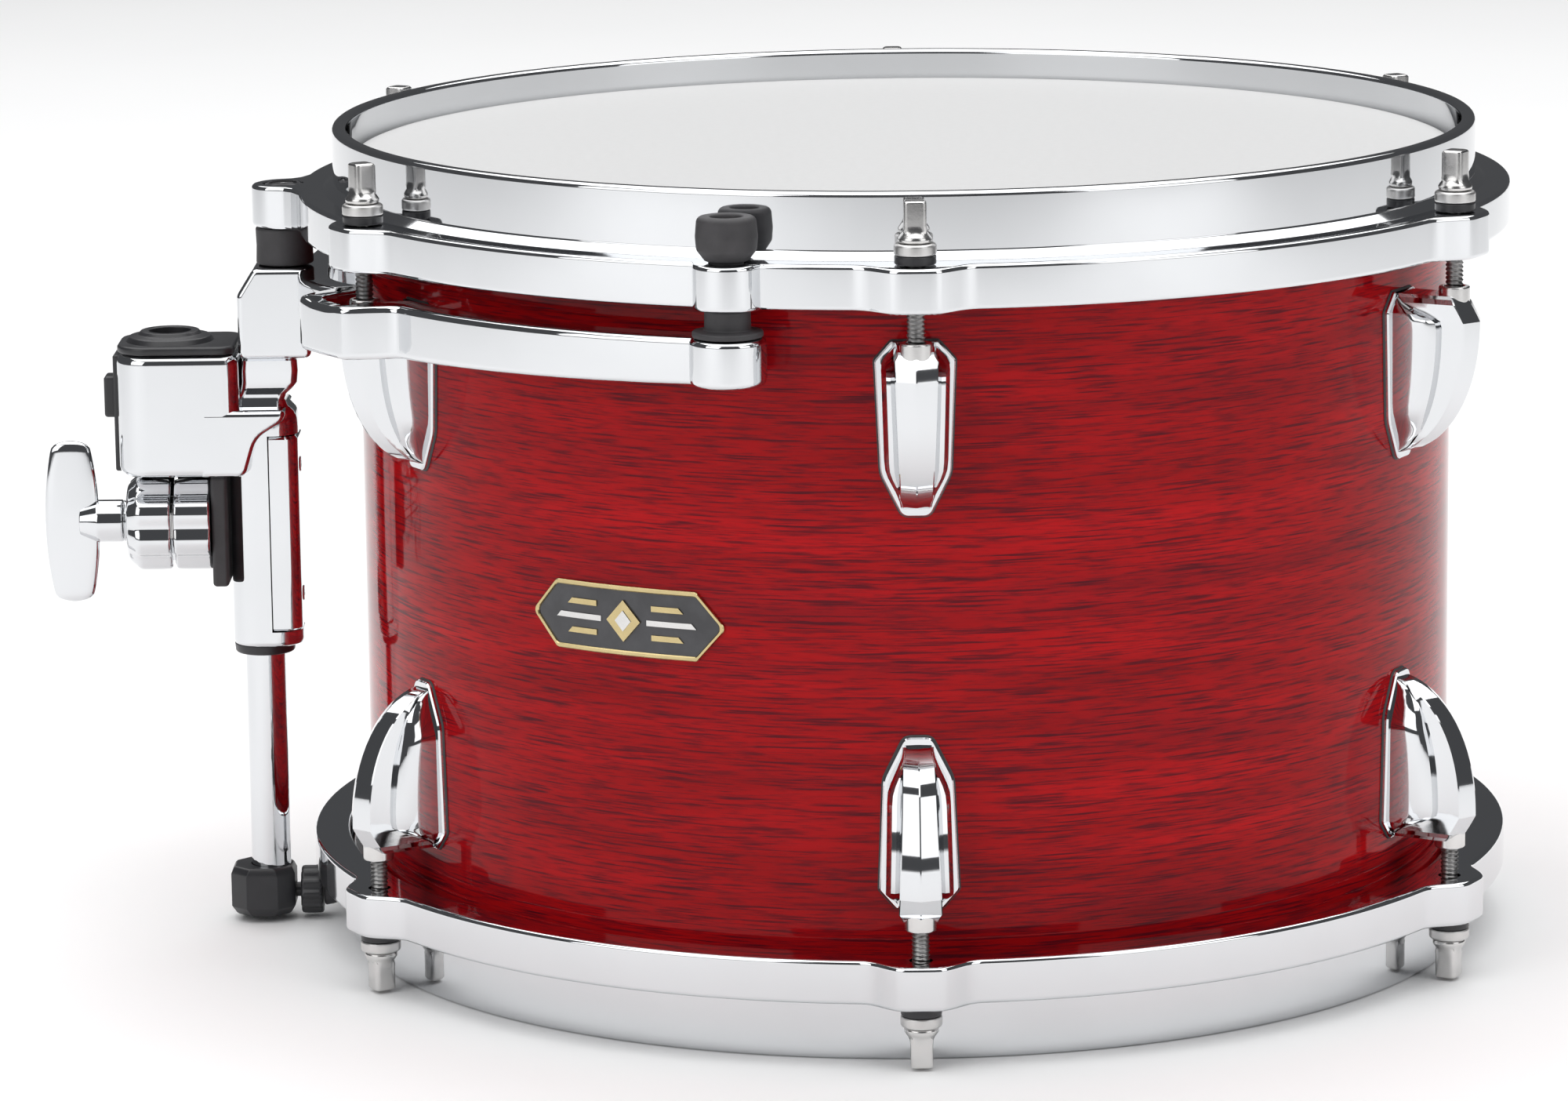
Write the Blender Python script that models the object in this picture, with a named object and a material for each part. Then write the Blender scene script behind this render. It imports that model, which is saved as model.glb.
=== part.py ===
"""Rack tom drum, 13 in by 9 in, hung in a rubber-cushioned suspension frame with a holder-rod clamp.

The drum's axis is Z. The origin is the centre of the batter head's playing surface. Six lugs stand
round each end, the first toward -Y, and the suspension frame and its clamp stand toward -X.
Everything is in metres; MM turns the named sizes below into metres.
"""
import math

import bmesh
import bpy
from mathutils import Matrix, Vector

MM = 0.001

# Drum: shell, heads and the plane halfway between the two heads.
HEAD_TO_HEAD = 229.0 * MM
MID_Z = -HEAD_TO_HEAD / 2
SHELL_RADIUS = 164.4 * MM
SHELL_WALL = 6.0 * MM
BEARING_RADIUS = 162.6 * MM
BEARING_DROP = 0.8 * MM
BEARING_ROUND = 1.8 * MM
BEARING_BEVEL = 4.2 * MM
FILM = 0.5 * MM
ROUND_SEGMENTS = 60

# Flesh hoop crimped on the edge of each head.
COLLAR_INNER = 165.2 * MM
COLLAR_NECK = 166.0 * MM
COLLAR_OUTER = 170.4 * MM
COLLAR_TOP = -8.4 * MM
COLLAR_BOTTOM = -18.0 * MM

# Die-cast hoop: an upright rim wall over a thick flange with ears.
RIM_TOP = 8.8 * MM
RIM_RADIUS = 171.5 * MM
RIM_INNER = 167.0 * MM
RIM_CHAMFER = 1.2 * MM
RIM_ROOT = -7.7 * MM
FLANGE_STEP = 174.6 * MM
FLANGE_TOP = -9.9 * MM
FLANGE_BOTTOM = -22.7 * MM
FLANGE_RADIUS = 182.0 * MM
FLANGE_INNER = 171.2 * MM
SEAT_Z = -8.0 * MM
EAR_REACH = 8.0 * MM
EAR_FLAT_DEG = 1.2
EAR_END_DEG = 5.4
FINE_OFFSETS = (-5.4, -3.4, -1.7, 0.0, 1.7, 3.4, 5.4)
STEP_DEG = 6

# Suspension lobes on the batter hoop.
MOUNT_DEG = -90.0
SIDE_LOBE_DEG = 73.4
SIDE_LOBE_PITCH = 180.8 * MM
SIDE_LOBE_RADIUS = 9.6 * MM
SIDE_LOBE_HOLE = 5.2 * MM
CENTRE_LOBE_PITCH = 187.0 * MM
CENTRE_LOBE_RADIUS = 9.5 * MM
CENTRE_LOBE_HOLE = 6.2 * MM

# Tension rods and lugs.
LUG_COUNT = 6
ROD_PITCH = 181.3 * MM
ROD_RADIUS = 2.65 * MM
ROD_HOLE = 3.3 * MM
ROD_TOP = 8.0 * MM
ROD_END = -58.0 * MM
HEAD_FLAT = 3.15 * MM
HEAD_CORNER = 2.4 * MM
HEAD_FOOT = -0.3 * MM
COLLAR_RADIUS = 4.9 * MM
COLLAR_LOW = -3.5 * MM
COLLAR_HIGH = -1.3 * MM
WASHER_RADIUS = 5.9 * MM
WASHER_HOLE = 3.0 * MM
WASHER_LOW = -9.6 * MM
WASHER_HIGH = -3.8 * MM
LUG_TOP = -34.0 * MM
LUG_LENGTH = 46.8 * MM
LUG_HALF_WIDTH = 11.3 * MM
LUG_BASE = 164.8 * MM
LUG_REACH = 24.7 * MM
LUG_RIDGE = 5.5 * MM
LUG_BORE = 3.1 * MM
LUG_BORE_END = -60.5 * MM
LUG_STATIONS = (0.0, 0.12, 0.28, 0.5, 0.7, 0.88, 1.0)
LUG_FACE_SLOPE = 0.18

# Suspension frame: two arms from a block, each bowed out round a lug, with a boss at each end.
ARM_OUTER = 183.0 * MM
ARM_INNER = 173.5 * MM
BOW_OUTER = 13.5 * MM
BOW_INNER = 17.1 * MM
BOW_OUTER_DEG = (3.6, 7.0)
BOW_INNER_DEG = (2.6, 4.6)
BOW_DEG = 30.0
ARM_HEIGHTS = ((0.0, -34.8, -49.0), (9.0, -34.8, -48.5), (23.0, -31.0, -47.0), (73.4, -30.7, -44.2))
ARM_OFFSETS = (0, 6, 12, 17, 20, 22.5, 24, 25.5, 27.2, 30, 32.8, 34.5, 36, 37.5, 40, 45, 50, 55, 60, 65, 70)
BOSS_RADIUS = 10.8 * MM
BOSS_HOLE = 2.9 * MM
BLOCK_X = (-201.0 * MM, -179.0 * MM)
BLOCK_HALF_DEPTH = 12.0 * MM
BLOCK_Z = (-61.8 * MM, -34.5 * MM)
BLOCK_CHAMFER = (5.0 * MM, 8.0 * MM)

# Rubber grommets and their bolts.
CAP_RADIUS = 8.7 * MM
CAP_TOP = 3.1 * MM
CAP_BOTTOM = -8.2 * MM
CAP_NECK = 5.9 * MM
GROMMET_WAIST = 4.8 * MM
SLEEVE_RADIUS = 6.4 * MM
SLEEVE_FOOT = 7.2 * MM
GROMMET_BORE = 2.9 * MM
RECESS_RADIUS = 4.4 * MM
RECESS_DEPTH = 5.0 * MM
BOLT_RADIUS = 2.5 * MM
BOLT_HEAD = 4.0 * MM
BOLT_HEAD_HEIGHT = 3.0 * MM
CENTRE_SPIGOT = 5.8 * MM
CENTRE_SPIGOT_TOP = -11.0 * MM
CENTRE_RECESS_DEPTH = 3.6 * MM
CENTRE_BOLT_HEAD_HEIGHT = 2.6 * MM
CENTRE_BOLT_DEPTH = 13.5 * MM
CENTRE_BORE_DEPTH = 14.0 * MM

# Clamp casting: housing round the holder-rod socket, and the sleeve of the stabiliser rod.
SOCKET_X = -222.5 * MM
SOCKET_RADIUS = 6.35 * MM
HOUSING_X = (-238.4 * MM, -203.0 * MM)
HOUSING_HALF_DEPTH = 16.0 * MM
HOUSING_Z = (-97.4 * MM, -59.9 * MM)
HOUSING_BORE = 8.4 * MM
NECK_X = (-197.5 * MM, -183.5 * MM)
NECK_HALF_DEPTH = 9.0 * MM
NECK_TOP = -62.1 * MM
WEB_X = (-212.0 * MM, -186.0 * MM)
WEB_Z = (-92.0 * MM, -68.0 * MM)
SLEEVE_X = (-205.4 * MM, -184.1 * MM)
SLEEVE_HALF_DEPTH = 10.5 * MM
SLEEVE_Z = (-150.8 * MM, -79.6 * MM)
SLEEVE_BORE = 6.3 * MM
SLEEVE_BORE_TOP = -84.0 * MM
CAP_SPLIT_X = -193.0 * MM
CAP_Z = (-146.0 * MM, -86.0 * MM)
CASTING_ROUND = 3.0 * MM
BUSH_RADIUS = 8.0 * MM
BUSH_FLANGE = 13.5 * MM
BUSH_TOP = -54.3 * MM

# Holder-rod clamp: two halves, an eye bolt and a wing nut on one axis along X.
CLAMP_Z = -113.0 * MM
CLAMP_RADIUS = 15.2 * MM
SEAT_X = (-222.1 * MM, -210.9 * MM)
SHOE_X = (-237.8 * MM, -222.9 * MM)
SHOE_DOME = ((0.0, 0.6), (0.12, 0.88), (0.35, 1.0), (1.0, 1.0))
CLAMP_GROOVE = 6.5 * MM
EYE_OUTER = 9.6 * MM
EYE_INNER = 6.6 * MM
EYE_HALF_HEIGHT = 4.0 * MM
STEM_RADIUS = 3.5 * MM
STEM_END = -246.5 * MM
CLAMP_CLEARANCE = 0.6 * MM
PAD_X = (-210.6 * MM, -205.7 * MM)
PAD_HALF_DEPTH = 12.0 * MM
PAD_Z = (-131.7 * MM, -97.7 * MM)
WING_HUB_X = (-251.0 * MM, -238.1 * MM)
WING_HUB_RADIUS = 6.5 * MM
WING_X = (-262.2 * MM, -245.6 * MM)
WING_SPAN = 24.8 * MM
WING_HALF_THICKNESS = 2.3 * MM
WING_TIP = 0.52

# Stabiliser rod and its foot.
STABILISER_X = -196.2 * MM
STABILISER_RADIUS = 6.0 * MM
STABILISER_Z = (-225.0 * MM, -85.6 * MM)
FOOT_X = (-208.4 * MM, -188.8 * MM)
FOOT_HALF_DEPTH = 9.8 * MM
FOOT_Z = (-236.0 * MM, -220.6 * MM)
FOOT_CORNER = 5.0 * MM
SCREW_Z = -229.2 * MM
SCREW_BORE = 2.6 * MM
SCREW_RADIUS = 2.2 * MM
SCREW_END = -203.0 * MM
SCREW_ROOM = 2.2 * MM
KNOB_X = (-187.0 * MM, -180.4 * MM)
KNOB_RADIUS = 7.6 * MM
KNOB_LOBES = 6
KNOB_FLUTE = 0.1
TIP_X = (-180.0 * MM, -172.0 * MM)
TIP_RADIUS = (5.0 * MM, 2.6 * MM)

GAP = 0.3 * MM
# How far cutters run past what they cut, and joined shapes into each other.
CUT_MARGIN = 10.0 * MM
GROOVE_HALF_LENGTH = 30.0 * MM
OVERLAP = 2.0 * MM


def clear_scene():
    for item in list(bpy.data.objects):
        bpy.data.objects.remove(item, do_unlink=True)


def finish(name, colour, roughness, metallic):
    """A plain Principled material."""
    material = bpy.data.materials.new(name)
    material.use_nodes = True
    shader = material.node_tree.nodes["Principled BSDF"]
    shader.inputs["Base Color"].default_value = (*colour, 1.0)
    shader.inputs["Roughness"].default_value = roughness
    shader.inputs["Metallic"].default_value = metallic
    material.diffuse_color = (*colour, 1.0)
    return material


def mesh_from(name, bm, material):
    """Close the bmesh into a mesh, faces out, smooth where the surface is round."""
    bmesh.ops.recalc_face_normals(bm, faces=bm.faces)
    mesh = bpy.data.meshes.new(name)
    bm.to_mesh(mesh)
    bm.free()
    mesh.materials.append(material)
    mesh.shade_smooth()
    mesh.set_sharp_from_angle(angle=math.radians(35))
    return mesh


def place(name, mesh, location=(0.0, 0.0, 0.0), rotation=(0.0, 0.0, 0.0)):
    item = bpy.data.objects.new(name, mesh)
    bpy.context.collection.objects.link(item)
    item.location = location
    item.rotation_euler = rotation
    return item


def add(name, bm, material, location=(0.0, 0.0, 0.0)):
    """Put a bmesh made in world coordinates at its place, with its origin at location."""
    bmesh.ops.translate(bm, verts=bm.verts, vec=-Vector(location))
    return place(name, mesh_from(name, bm, material), location)


def helper(name, bm, material):
    """A cutter or a shape to be joined on; the build leaves it out."""
    item = place(name, mesh_from(name, bm, material))
    item.hide_render = True
    item.display_type = "WIRE"
    return item


def combine(item, other, operation):
    modifier = item.modifiers.new(other.name, "BOOLEAN")
    modifier.operation = operation
    modifier.solver = "EXACT"
    modifier.object = other


def cut(item, *cutters):
    for cutter in cutters:
        combine(item, cutter, "DIFFERENCE")


def join(item, *others):
    for other in others:
        combine(item, other, "UNION")


def soften(item, width, segments=2):
    modifier = item.modifiers.new("Soft edges", "BEVEL")
    modifier.width = width
    modifier.segments = segments
    modifier.limit_method = "ANGLE"
    modifier.angle_limit = math.radians(40)


def bridge(bm, first, second):
    count = len(first)
    for k in range(count):
        bm.faces.new((first[k], first[(k + 1) % count], second[(k + 1) % count], second[k]))


def loft(bm, rings, closed=False):
    """Skin a list of rings of points; the ends are capped, or joined to each other if closed."""
    rows = [[bm.verts.new(point) for point in ring] for ring in rings]
    for first, second in zip(rows, rows[1:]):
        bridge(bm, first, second)
    if closed:
        bridge(bm, rows[-1], rows[0])
    else:
        bm.faces.new(rows[0])
        bm.faces.new(rows[-1])
    return bm


def circle(radius, z, segments, centre=(0.0, 0.0)):
    turn = math.tau / segments
    return [
        (centre[0] + radius * math.cos(k * turn), centre[1] + radius * math.sin(k * turn), z)
        for k in range(segments)
    ]


def lathe(profile, segments, centre=(0.0, 0.0), closed=False):
    """Turn (radius, z) points round a vertical axis."""
    return loft(bmesh.new(), [circle(radius, z, segments, centre) for radius, z in profile], closed)


def lathe_x(profile, segments, y, z):
    """Turn (x, radius) points round an axis along X."""
    rings = []
    for x, radius in profile:
        rings.append([(x, y + b, z + a) for a, b, _ in circle(radius, 0.0, segments)])
    return loft(bmesh.new(), rings)


def prism(points, low, high, axis="Z"):
    """Extrude a flat outline along Z, or along Y for an outline in X and Z."""
    if axis == "Z":
        rings = [[(a, b, level) for a, b in points] for level in (low, high)]
    else:
        rings = [[(a, level, b) for a, b in points] for level in (low, high)]
    return loft(bmesh.new(), rings)


def box(x, y, z):
    return prism(((x[0], y[0]), (x[1], y[0]), (x[1], y[1]), (x[0], y[1])), z[0], z[1])


def both(half):
    return (-half, half)


def polar(degrees, radius):
    """A point round the drum; 0 degrees is toward -Y and positive angles go toward +X."""
    angle = math.radians(degrees)
    return (radius * math.sin(angle), -radius * math.cos(angle))


def mirrored(z):
    """The same height measured from the resonant head."""
    return 2 * MID_Z - z


def wrap(degrees):
    return (degrees + 180.0) % 360.0 - 180.0


def swell(offset, flat, end):
    """1 within flat degrees, easing to 0 at end degrees."""
    share = (abs(offset) - flat) / (end - flat)
    share = min(max(share, 0.0), 1.0)
    return math.cos(share * math.pi / 2) ** 2


def round_lobe(offset, pitch, radius):
    """How far a round lobe reaches from the drum's axis, at an offset in degrees from its centre."""
    across = pitch * math.sin(math.radians(offset))
    if abs(across) >= radius:
        return 0.0
    return pitch * math.cos(math.radians(offset)) + math.sqrt(radius ** 2 - across ** 2)


def lug_angles():
    return [wrap(k * 360.0 / LUG_COUNT) for k in range(LUG_COUNT)]


def side_lobes():
    return (MOUNT_DEG + SIDE_LOBE_DEG, MOUNT_DEG - SIDE_LOBE_DEG)


def hoop_reach(degrees, with_lobes):
    """The flange's outer radius: a round flange, an ear at each lug and the suspension lobes."""
    ears = [swell(wrap(degrees - lug), EAR_FLAT_DEG, EAR_END_DEG) for lug in lug_angles()]
    reach = FLANGE_RADIUS + EAR_REACH * max(ears)
    if with_lobes:
        for lobe in side_lobes():
            reach = max(reach, round_lobe(wrap(degrees - lobe), SIDE_LOBE_PITCH, SIDE_LOBE_RADIUS))
        offset = wrap(degrees - MOUNT_DEG)
        reach = max(reach, round_lobe(offset, CENTRE_LOBE_PITCH, CENTRE_LOBE_RADIUS))
        reach = max(reach, FLANGE_RADIUS + EAR_REACH * swell(offset, EAR_FLAT_DEG, EAR_END_DEG))
    return reach


def ring_angles(centres):
    """Angles round a hoop: close together over each ear or lobe, evenly spaced elsewhere."""
    angles = {round(wrap(centre + offset), 4) for centre in centres for offset in FINE_OFFSETS}
    for k in range(0, 360, STEP_DEG):
        if all(abs(wrap(k - centre)) > FINE_OFFSETS[-1] + 1 for centre in centres):
            angles.add(round(wrap(k), 4))
    return sorted(angles)


def hoop_section(reach):
    """The hoop's section as (radius, z) points, from the rim wall's outside round to its top."""
    return (
        (RIM_RADIUS, RIM_TOP - RIM_CHAMFER),
        (RIM_RADIUS, RIM_ROOT),
        (FLANGE_STEP, FLANGE_TOP),
        (reach, FLANGE_TOP),
        (reach, FLANGE_BOTTOM),
        (FLANGE_INNER, FLANGE_BOTTOM),
        (FLANGE_INNER, SEAT_Z),
        (RIM_INNER, SEAT_Z),
        (RIM_INNER, RIM_TOP - RIM_CHAMFER),
        (RIM_INNER + RIM_CHAMFER, RIM_TOP),
        (RIM_RADIUS - RIM_CHAMFER, RIM_TOP),
    )


def hoop_holes(with_lobes):
    """Vertical holes as (degrees, pitch radius, hole radius)."""
    holes = [(lug, ROD_PITCH, ROD_HOLE) for lug in lug_angles()]
    if with_lobes:
        holes += [(lobe, SIDE_LOBE_PITCH, SIDE_LOBE_HOLE) for lobe in side_lobes()]
        holes.append((MOUNT_DEG, CENTRE_LOBE_PITCH, CENTRE_LOBE_HOLE))
    return holes


def build_hoop(name, material, with_lobes, level):
    """A hoop; level turns a height at the batter end into this hoop's own height."""
    centres = lug_angles() + (list(side_lobes()) + [MOUNT_DEG] if with_lobes else [])
    rings = []
    for degrees in ring_angles(centres):
        section = hoop_section(hoop_reach(degrees, with_lobes))
        rings.append([(*polar(degrees, radius), level(z)) for radius, z in section])
    hoop = add(name, loft(bmesh.new(), rings, closed=True), material)
    drills = bmesh.new()
    for degrees, pitch, radius in hoop_holes(with_lobes):
        ends = [circle(radius, level(z), 12, polar(degrees, pitch)) for z in (FLANGE_BOTTOM - CUT_MARGIN, 0.0)]
        loft(drills, ends)
    cut(hoop, helper(name + "_drills", drills, material))
    return hoop


def build_shell(material):
    """A tube with a rounded-over outer edge and a 45 degree inner bevel at each bearing edge."""
    top = -BEARING_DROP
    inner = SHELL_RADIUS - SHELL_WALL
    upper = [
        (inner, top - BEARING_BEVEL),
        (BEARING_RADIUS, top),
        (SHELL_RADIUS, top - BEARING_ROUND),
    ]
    lower = [(radius, mirrored(z)) for radius, z in reversed(upper)]
    add("shell", lathe(upper + lower, ROUND_SEGMENTS, closed=True), material)


def build_head(name, material, level):
    """A drumhead: the film, its turned-down collar and the flesh hoop, as one turned piece."""
    profile = (
        (BEARING_RADIUS + 0.8 * MM, 0.0),
        (COLLAR_INNER, -1.0 * MM),
        (COLLAR_NECK - 0.2 * MM, -2.6 * MM),
        (COLLAR_NECK, COLLAR_TOP),
        (COLLAR_OUTER, COLLAR_TOP),
        (COLLAR_OUTER, COLLAR_BOTTOM),
        (COLLAR_INNER, COLLAR_BOTTOM),
        (COLLAR_INNER, -3.0 * MM),
        (COLLAR_INNER - 0.6 * MM, -1.7 * MM),
        (BEARING_RADIUS + 0.6 * MM, -FILM),
    )
    add(name, lathe([(radius, level(z)) for radius, z in profile], ROUND_SEGMENTS), material)


def lug_section(share):
    """One cross-section of a lug, share of the way from its nut end to its tip."""
    z = LUG_TOP - LUG_LENGTH * share
    bend = max(0.0, (share - 0.1) / 0.9)
    height = LUG_REACH * max(math.sqrt(1.0 - bend ** 2.2), 0.1)
    if share == 0.0:
        height *= 0.93
    half = LUG_HALF_WIDTH * (1.0 - 0.52 * share ** 1.5)
    if share == 1.0:
        half *= 0.5
    ridge = min(LUG_RIDGE * (1.0 - 0.22 * share), half * 0.55)
    side = [
        (half, 0.0),
        (half * 0.95, height * 0.45),
        (half * 0.78, height * 0.8),
        (ridge, height * 0.97),
    ]
    outline = side + [(0.0, height)] + [(-x, y) for x, y in reversed(side)] + [(0.0, 0.0)]
    slope = LUG_FACE_SLOPE if share == 0.0 else 0.0
    ring = []
    for x, y in outline:
        base = math.sqrt(LUG_BASE ** 2 - x ** 2)
        ring.append((x, -(base + y), z - slope * (height - y) - MID_Z))
    return ring


def lug_mesh(material):
    """A lug at the front of the batter end, measured from the middle of the drum."""
    return mesh_from("lug", loft(bmesh.new(), [lug_section(share) for share in LUG_STATIONS]), material)


def square_ring(scale, z):
    """The rod's square head with blunted corners, eight points from +X round."""
    flat, corner = HEAD_FLAT * scale, HEAD_CORNER * scale
    quarter = [(flat, corner), (corner, flat)]
    points = []
    for turn in range(4):
        spin = Matrix.Rotation(turn * math.pi / 2, 2)
        points += [(*(spin @ Vector(point)), z - MID_Z) for point in quarter]
    return points


def rod_ring(radius, z):
    """A round ring whose eight points line up with those of the square head."""
    turn = math.tau / 8
    return [
        (radius * math.cos((k + 0.5) * turn), radius * math.sin((k + 0.5) * turn), z - MID_Z)
        for k in range(8)
    ]


def rod_mesh(material):
    rings = [
        square_ring(0.8, ROD_TOP),
        square_ring(1.0, ROD_TOP - 0.5 * MM),
        square_ring(1.0, HEAD_FOOT),
        rod_ring(COLLAR_RADIUS, COLLAR_HIGH),
        rod_ring(COLLAR_RADIUS, COLLAR_LOW),
        rod_ring(ROD_RADIUS, COLLAR_LOW),
        rod_ring(ROD_RADIUS, ROD_END + 0.6 * MM),
        rod_ring(ROD_RADIUS * 0.75, ROD_END),
    ]
    return mesh_from("tension_rod", loft(bmesh.new(), rings), material)


def washer_mesh(material):
    profile = [
        (WASHER_HOLE, WASHER_HIGH - MID_Z),
        (WASHER_RADIUS, WASHER_HIGH - MID_Z),
        (WASHER_RADIUS, WASHER_LOW - MID_Z),
        (WASHER_HOLE, WASHER_LOW - MID_Z),
    ]
    return mesh_from("rod_washer", lathe(profile, 10, closed=True), material)


def build_tuning(chrome, steel):
    """Lugs, tension rods and their washers at both ends, all from three shared meshes."""
    lug = lug_mesh(chrome)
    rod = rod_mesh(steel)
    washer = washer_mesh(steel)
    drills = bmesh.new()
    for degrees in lug_angles():
        for level in (lambda z: z, mirrored):
            hole = [circle(LUG_BORE, level(z), 10, polar(degrees, ROD_PITCH)) for z in (LUG_BORE_END, 0.0)]
            loft(drills, hole)
    drill = helper("lug_drills", drills, steel)
    for end, flip in (("batter", 0.0), ("resonant", math.pi)):
        for number, degrees in enumerate(lug_angles(), 1):
            turn = (0.0, flip, math.radians(degrees))
            axis = (*polar(degrees, ROD_PITCH), MID_Z)
            cut(place(f"lug_{end}_{number}", lug, (0.0, 0.0, MID_Z), turn), drill)
            place(f"tension_rod_{end}_{number}", rod, axis, turn)
            place(f"rod_washer_{end}_{number}", washer, axis, turn)


def arm_height(offset, column):
    """An arm's top (column 1) or bottom (column 2), offset degrees from the middle of the frame."""
    for near, far in zip(ARM_HEIGHTS, ARM_HEIGHTS[1:]):
        if offset <= far[0]:
            share = (offset - near[0]) / (far[0] - near[0])
            return (near[column] + share * (far[column] - near[column])) * MM
    return ARM_HEIGHTS[-1][column] * MM


def arm_section(side, offset):
    """Four corners of an arm: inner and outer radius, at its bottom and its top."""
    bow = abs(offset - BOW_DEG)
    outer = ARM_OUTER + BOW_OUTER * swell(bow, *BOW_OUTER_DEG)
    inner = ARM_INNER + BOW_INNER * swell(bow, *BOW_INNER_DEG)
    top = arm_height(offset, 1)
    bottom = arm_height(offset, 2)
    degrees = MOUNT_DEG + side * offset
    corners = ((inner, bottom), (outer, bottom), (outer, top), (inner, top))
    return [(*polar(degrees, radius), z) for radius, z in corners]


def build_frame(material):
    """The suspension frame: a band of two arms, a boss at each end and the middle block."""
    left = [arm_section(-1, offset) for offset in reversed(ARM_OFFSETS[1:])]
    right = [arm_section(1, offset) for offset in ARM_OFFSETS]
    frame = add("suspension_frame", loft(bmesh.new(), left + right), material)
    top = ARM_HEIGHTS[-1][1] * MM
    bottom = ARM_HEIGHTS[-1][2] * MM
    holes = bmesh.new()
    for lobe in side_lobes():
        centre = polar(lobe, SIDE_LOBE_PITCH)
        boss = loft(bmesh.new(), [circle(BOSS_RADIUS, z, 20, centre) for z in (bottom, top)])
        join(frame, helper(f"boss_{lobe:.0f}", boss, material))
        loft(holes, [circle(BOSS_HOLE, z, 10, centre) for z in (bottom - CUT_MARGIN, top + CUT_MARGIN)])
    centre = polar(MOUNT_DEG, CENTRE_LOBE_PITCH)
    loft(holes, [circle(BOSS_HOLE, z, 10, centre) for z in (BLOCK_Z[1] - CENTRE_BORE_DEPTH, 0.0)])
    outline = (
        (BLOCK_X[0], BLOCK_Z[0]),
        (BLOCK_X[0], BLOCK_Z[1] - BLOCK_CHAMFER[1]),
        (BLOCK_X[0] + BLOCK_CHAMFER[0], BLOCK_Z[1]),
        (BLOCK_X[1], BLOCK_Z[1]),
        (BLOCK_X[1], BLOCK_Z[0]),
    )
    block = helper("block", prism(outline, *both(BLOCK_HALF_DEPTH), axis="Y"), material)
    join(frame, block)
    cut(frame, helper("frame_holes", holes, material))


def build_side_grommet(name, bolt_name, degrees, rubber, steel):
    """A capped rubber grommet through a side lobe of the hoop, and the bolt down its middle."""
    low = ARM_HEIGHTS[-1][1] * MM + GAP
    centre = polar(degrees, SIDE_LOBE_PITCH)
    profile = (
        (RECESS_RADIUS, CAP_TOP),
        (CAP_RADIUS - 0.8 * MM, CAP_TOP),
        (CAP_RADIUS, CAP_TOP - 1.2 * MM),
        (CAP_RADIUS, CAP_BOTTOM),
        (CAP_NECK, CAP_BOTTOM - 0.5 * MM),
        (CAP_NECK, FLANGE_TOP + GAP),
        (GROMMET_WAIST, FLANGE_TOP + GAP),
        (GROMMET_WAIST, FLANGE_BOTTOM - GAP),
        (SLEEVE_RADIUS, FLANGE_BOTTOM - GAP),
        (SLEEVE_FOOT, low),
        (GROMMET_BORE, low),
        (GROMMET_BORE, CAP_TOP - RECESS_DEPTH),
        (RECESS_RADIUS, CAP_TOP - RECESS_DEPTH),
    )
    add(name, lathe(profile, 16, centre, closed=True), rubber)
    seat = CAP_TOP - RECESS_DEPTH + GAP
    end = ARM_HEIGHTS[-1][2] * MM + GAP
    add(bolt_name, bolt_bmesh(centre, BOLT_HEAD, seat + BOLT_HEAD_HEIGHT, seat, end), steel)


def bolt_bmesh(centre, head, top, seat, end):
    profile = ((head, top), (head, seat), (BOLT_RADIUS, seat), (BOLT_RADIUS, end))
    return lathe(profile, 10, centre)


def build_centre_grommet(rubber, steel):
    """The plain rubber cushion under the middle lobe, its spigot up through the lobe and its bolt."""
    low = BLOCK_Z[1] + GAP
    seat = CENTRE_SPIGOT_TOP - CENTRE_RECESS_DEPTH
    centre = polar(MOUNT_DEG, CENTRE_LOBE_PITCH)
    profile = (
        (RECESS_RADIUS, CENTRE_SPIGOT_TOP),
        (CENTRE_SPIGOT, CENTRE_SPIGOT_TOP),
        (CENTRE_SPIGOT, FLANGE_BOTTOM - GAP),
        (CAP_RADIUS, FLANGE_BOTTOM - GAP),
        (CAP_RADIUS, low),
        (GROMMET_BORE, low),
        (GROMMET_BORE, seat),
        (RECESS_RADIUS, seat),
    )
    add("grommet_centre", lathe(profile, 16, centre, closed=True), rubber)
    top = seat + GAP + CENTRE_BOLT_HEAD_HEIGHT
    end = BLOCK_Z[1] - CENTRE_BOLT_DEPTH
    add("grommet_bolt_centre", bolt_bmesh(centre, BOLT_HEAD, top, seat + GAP, end), steel)


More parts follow.
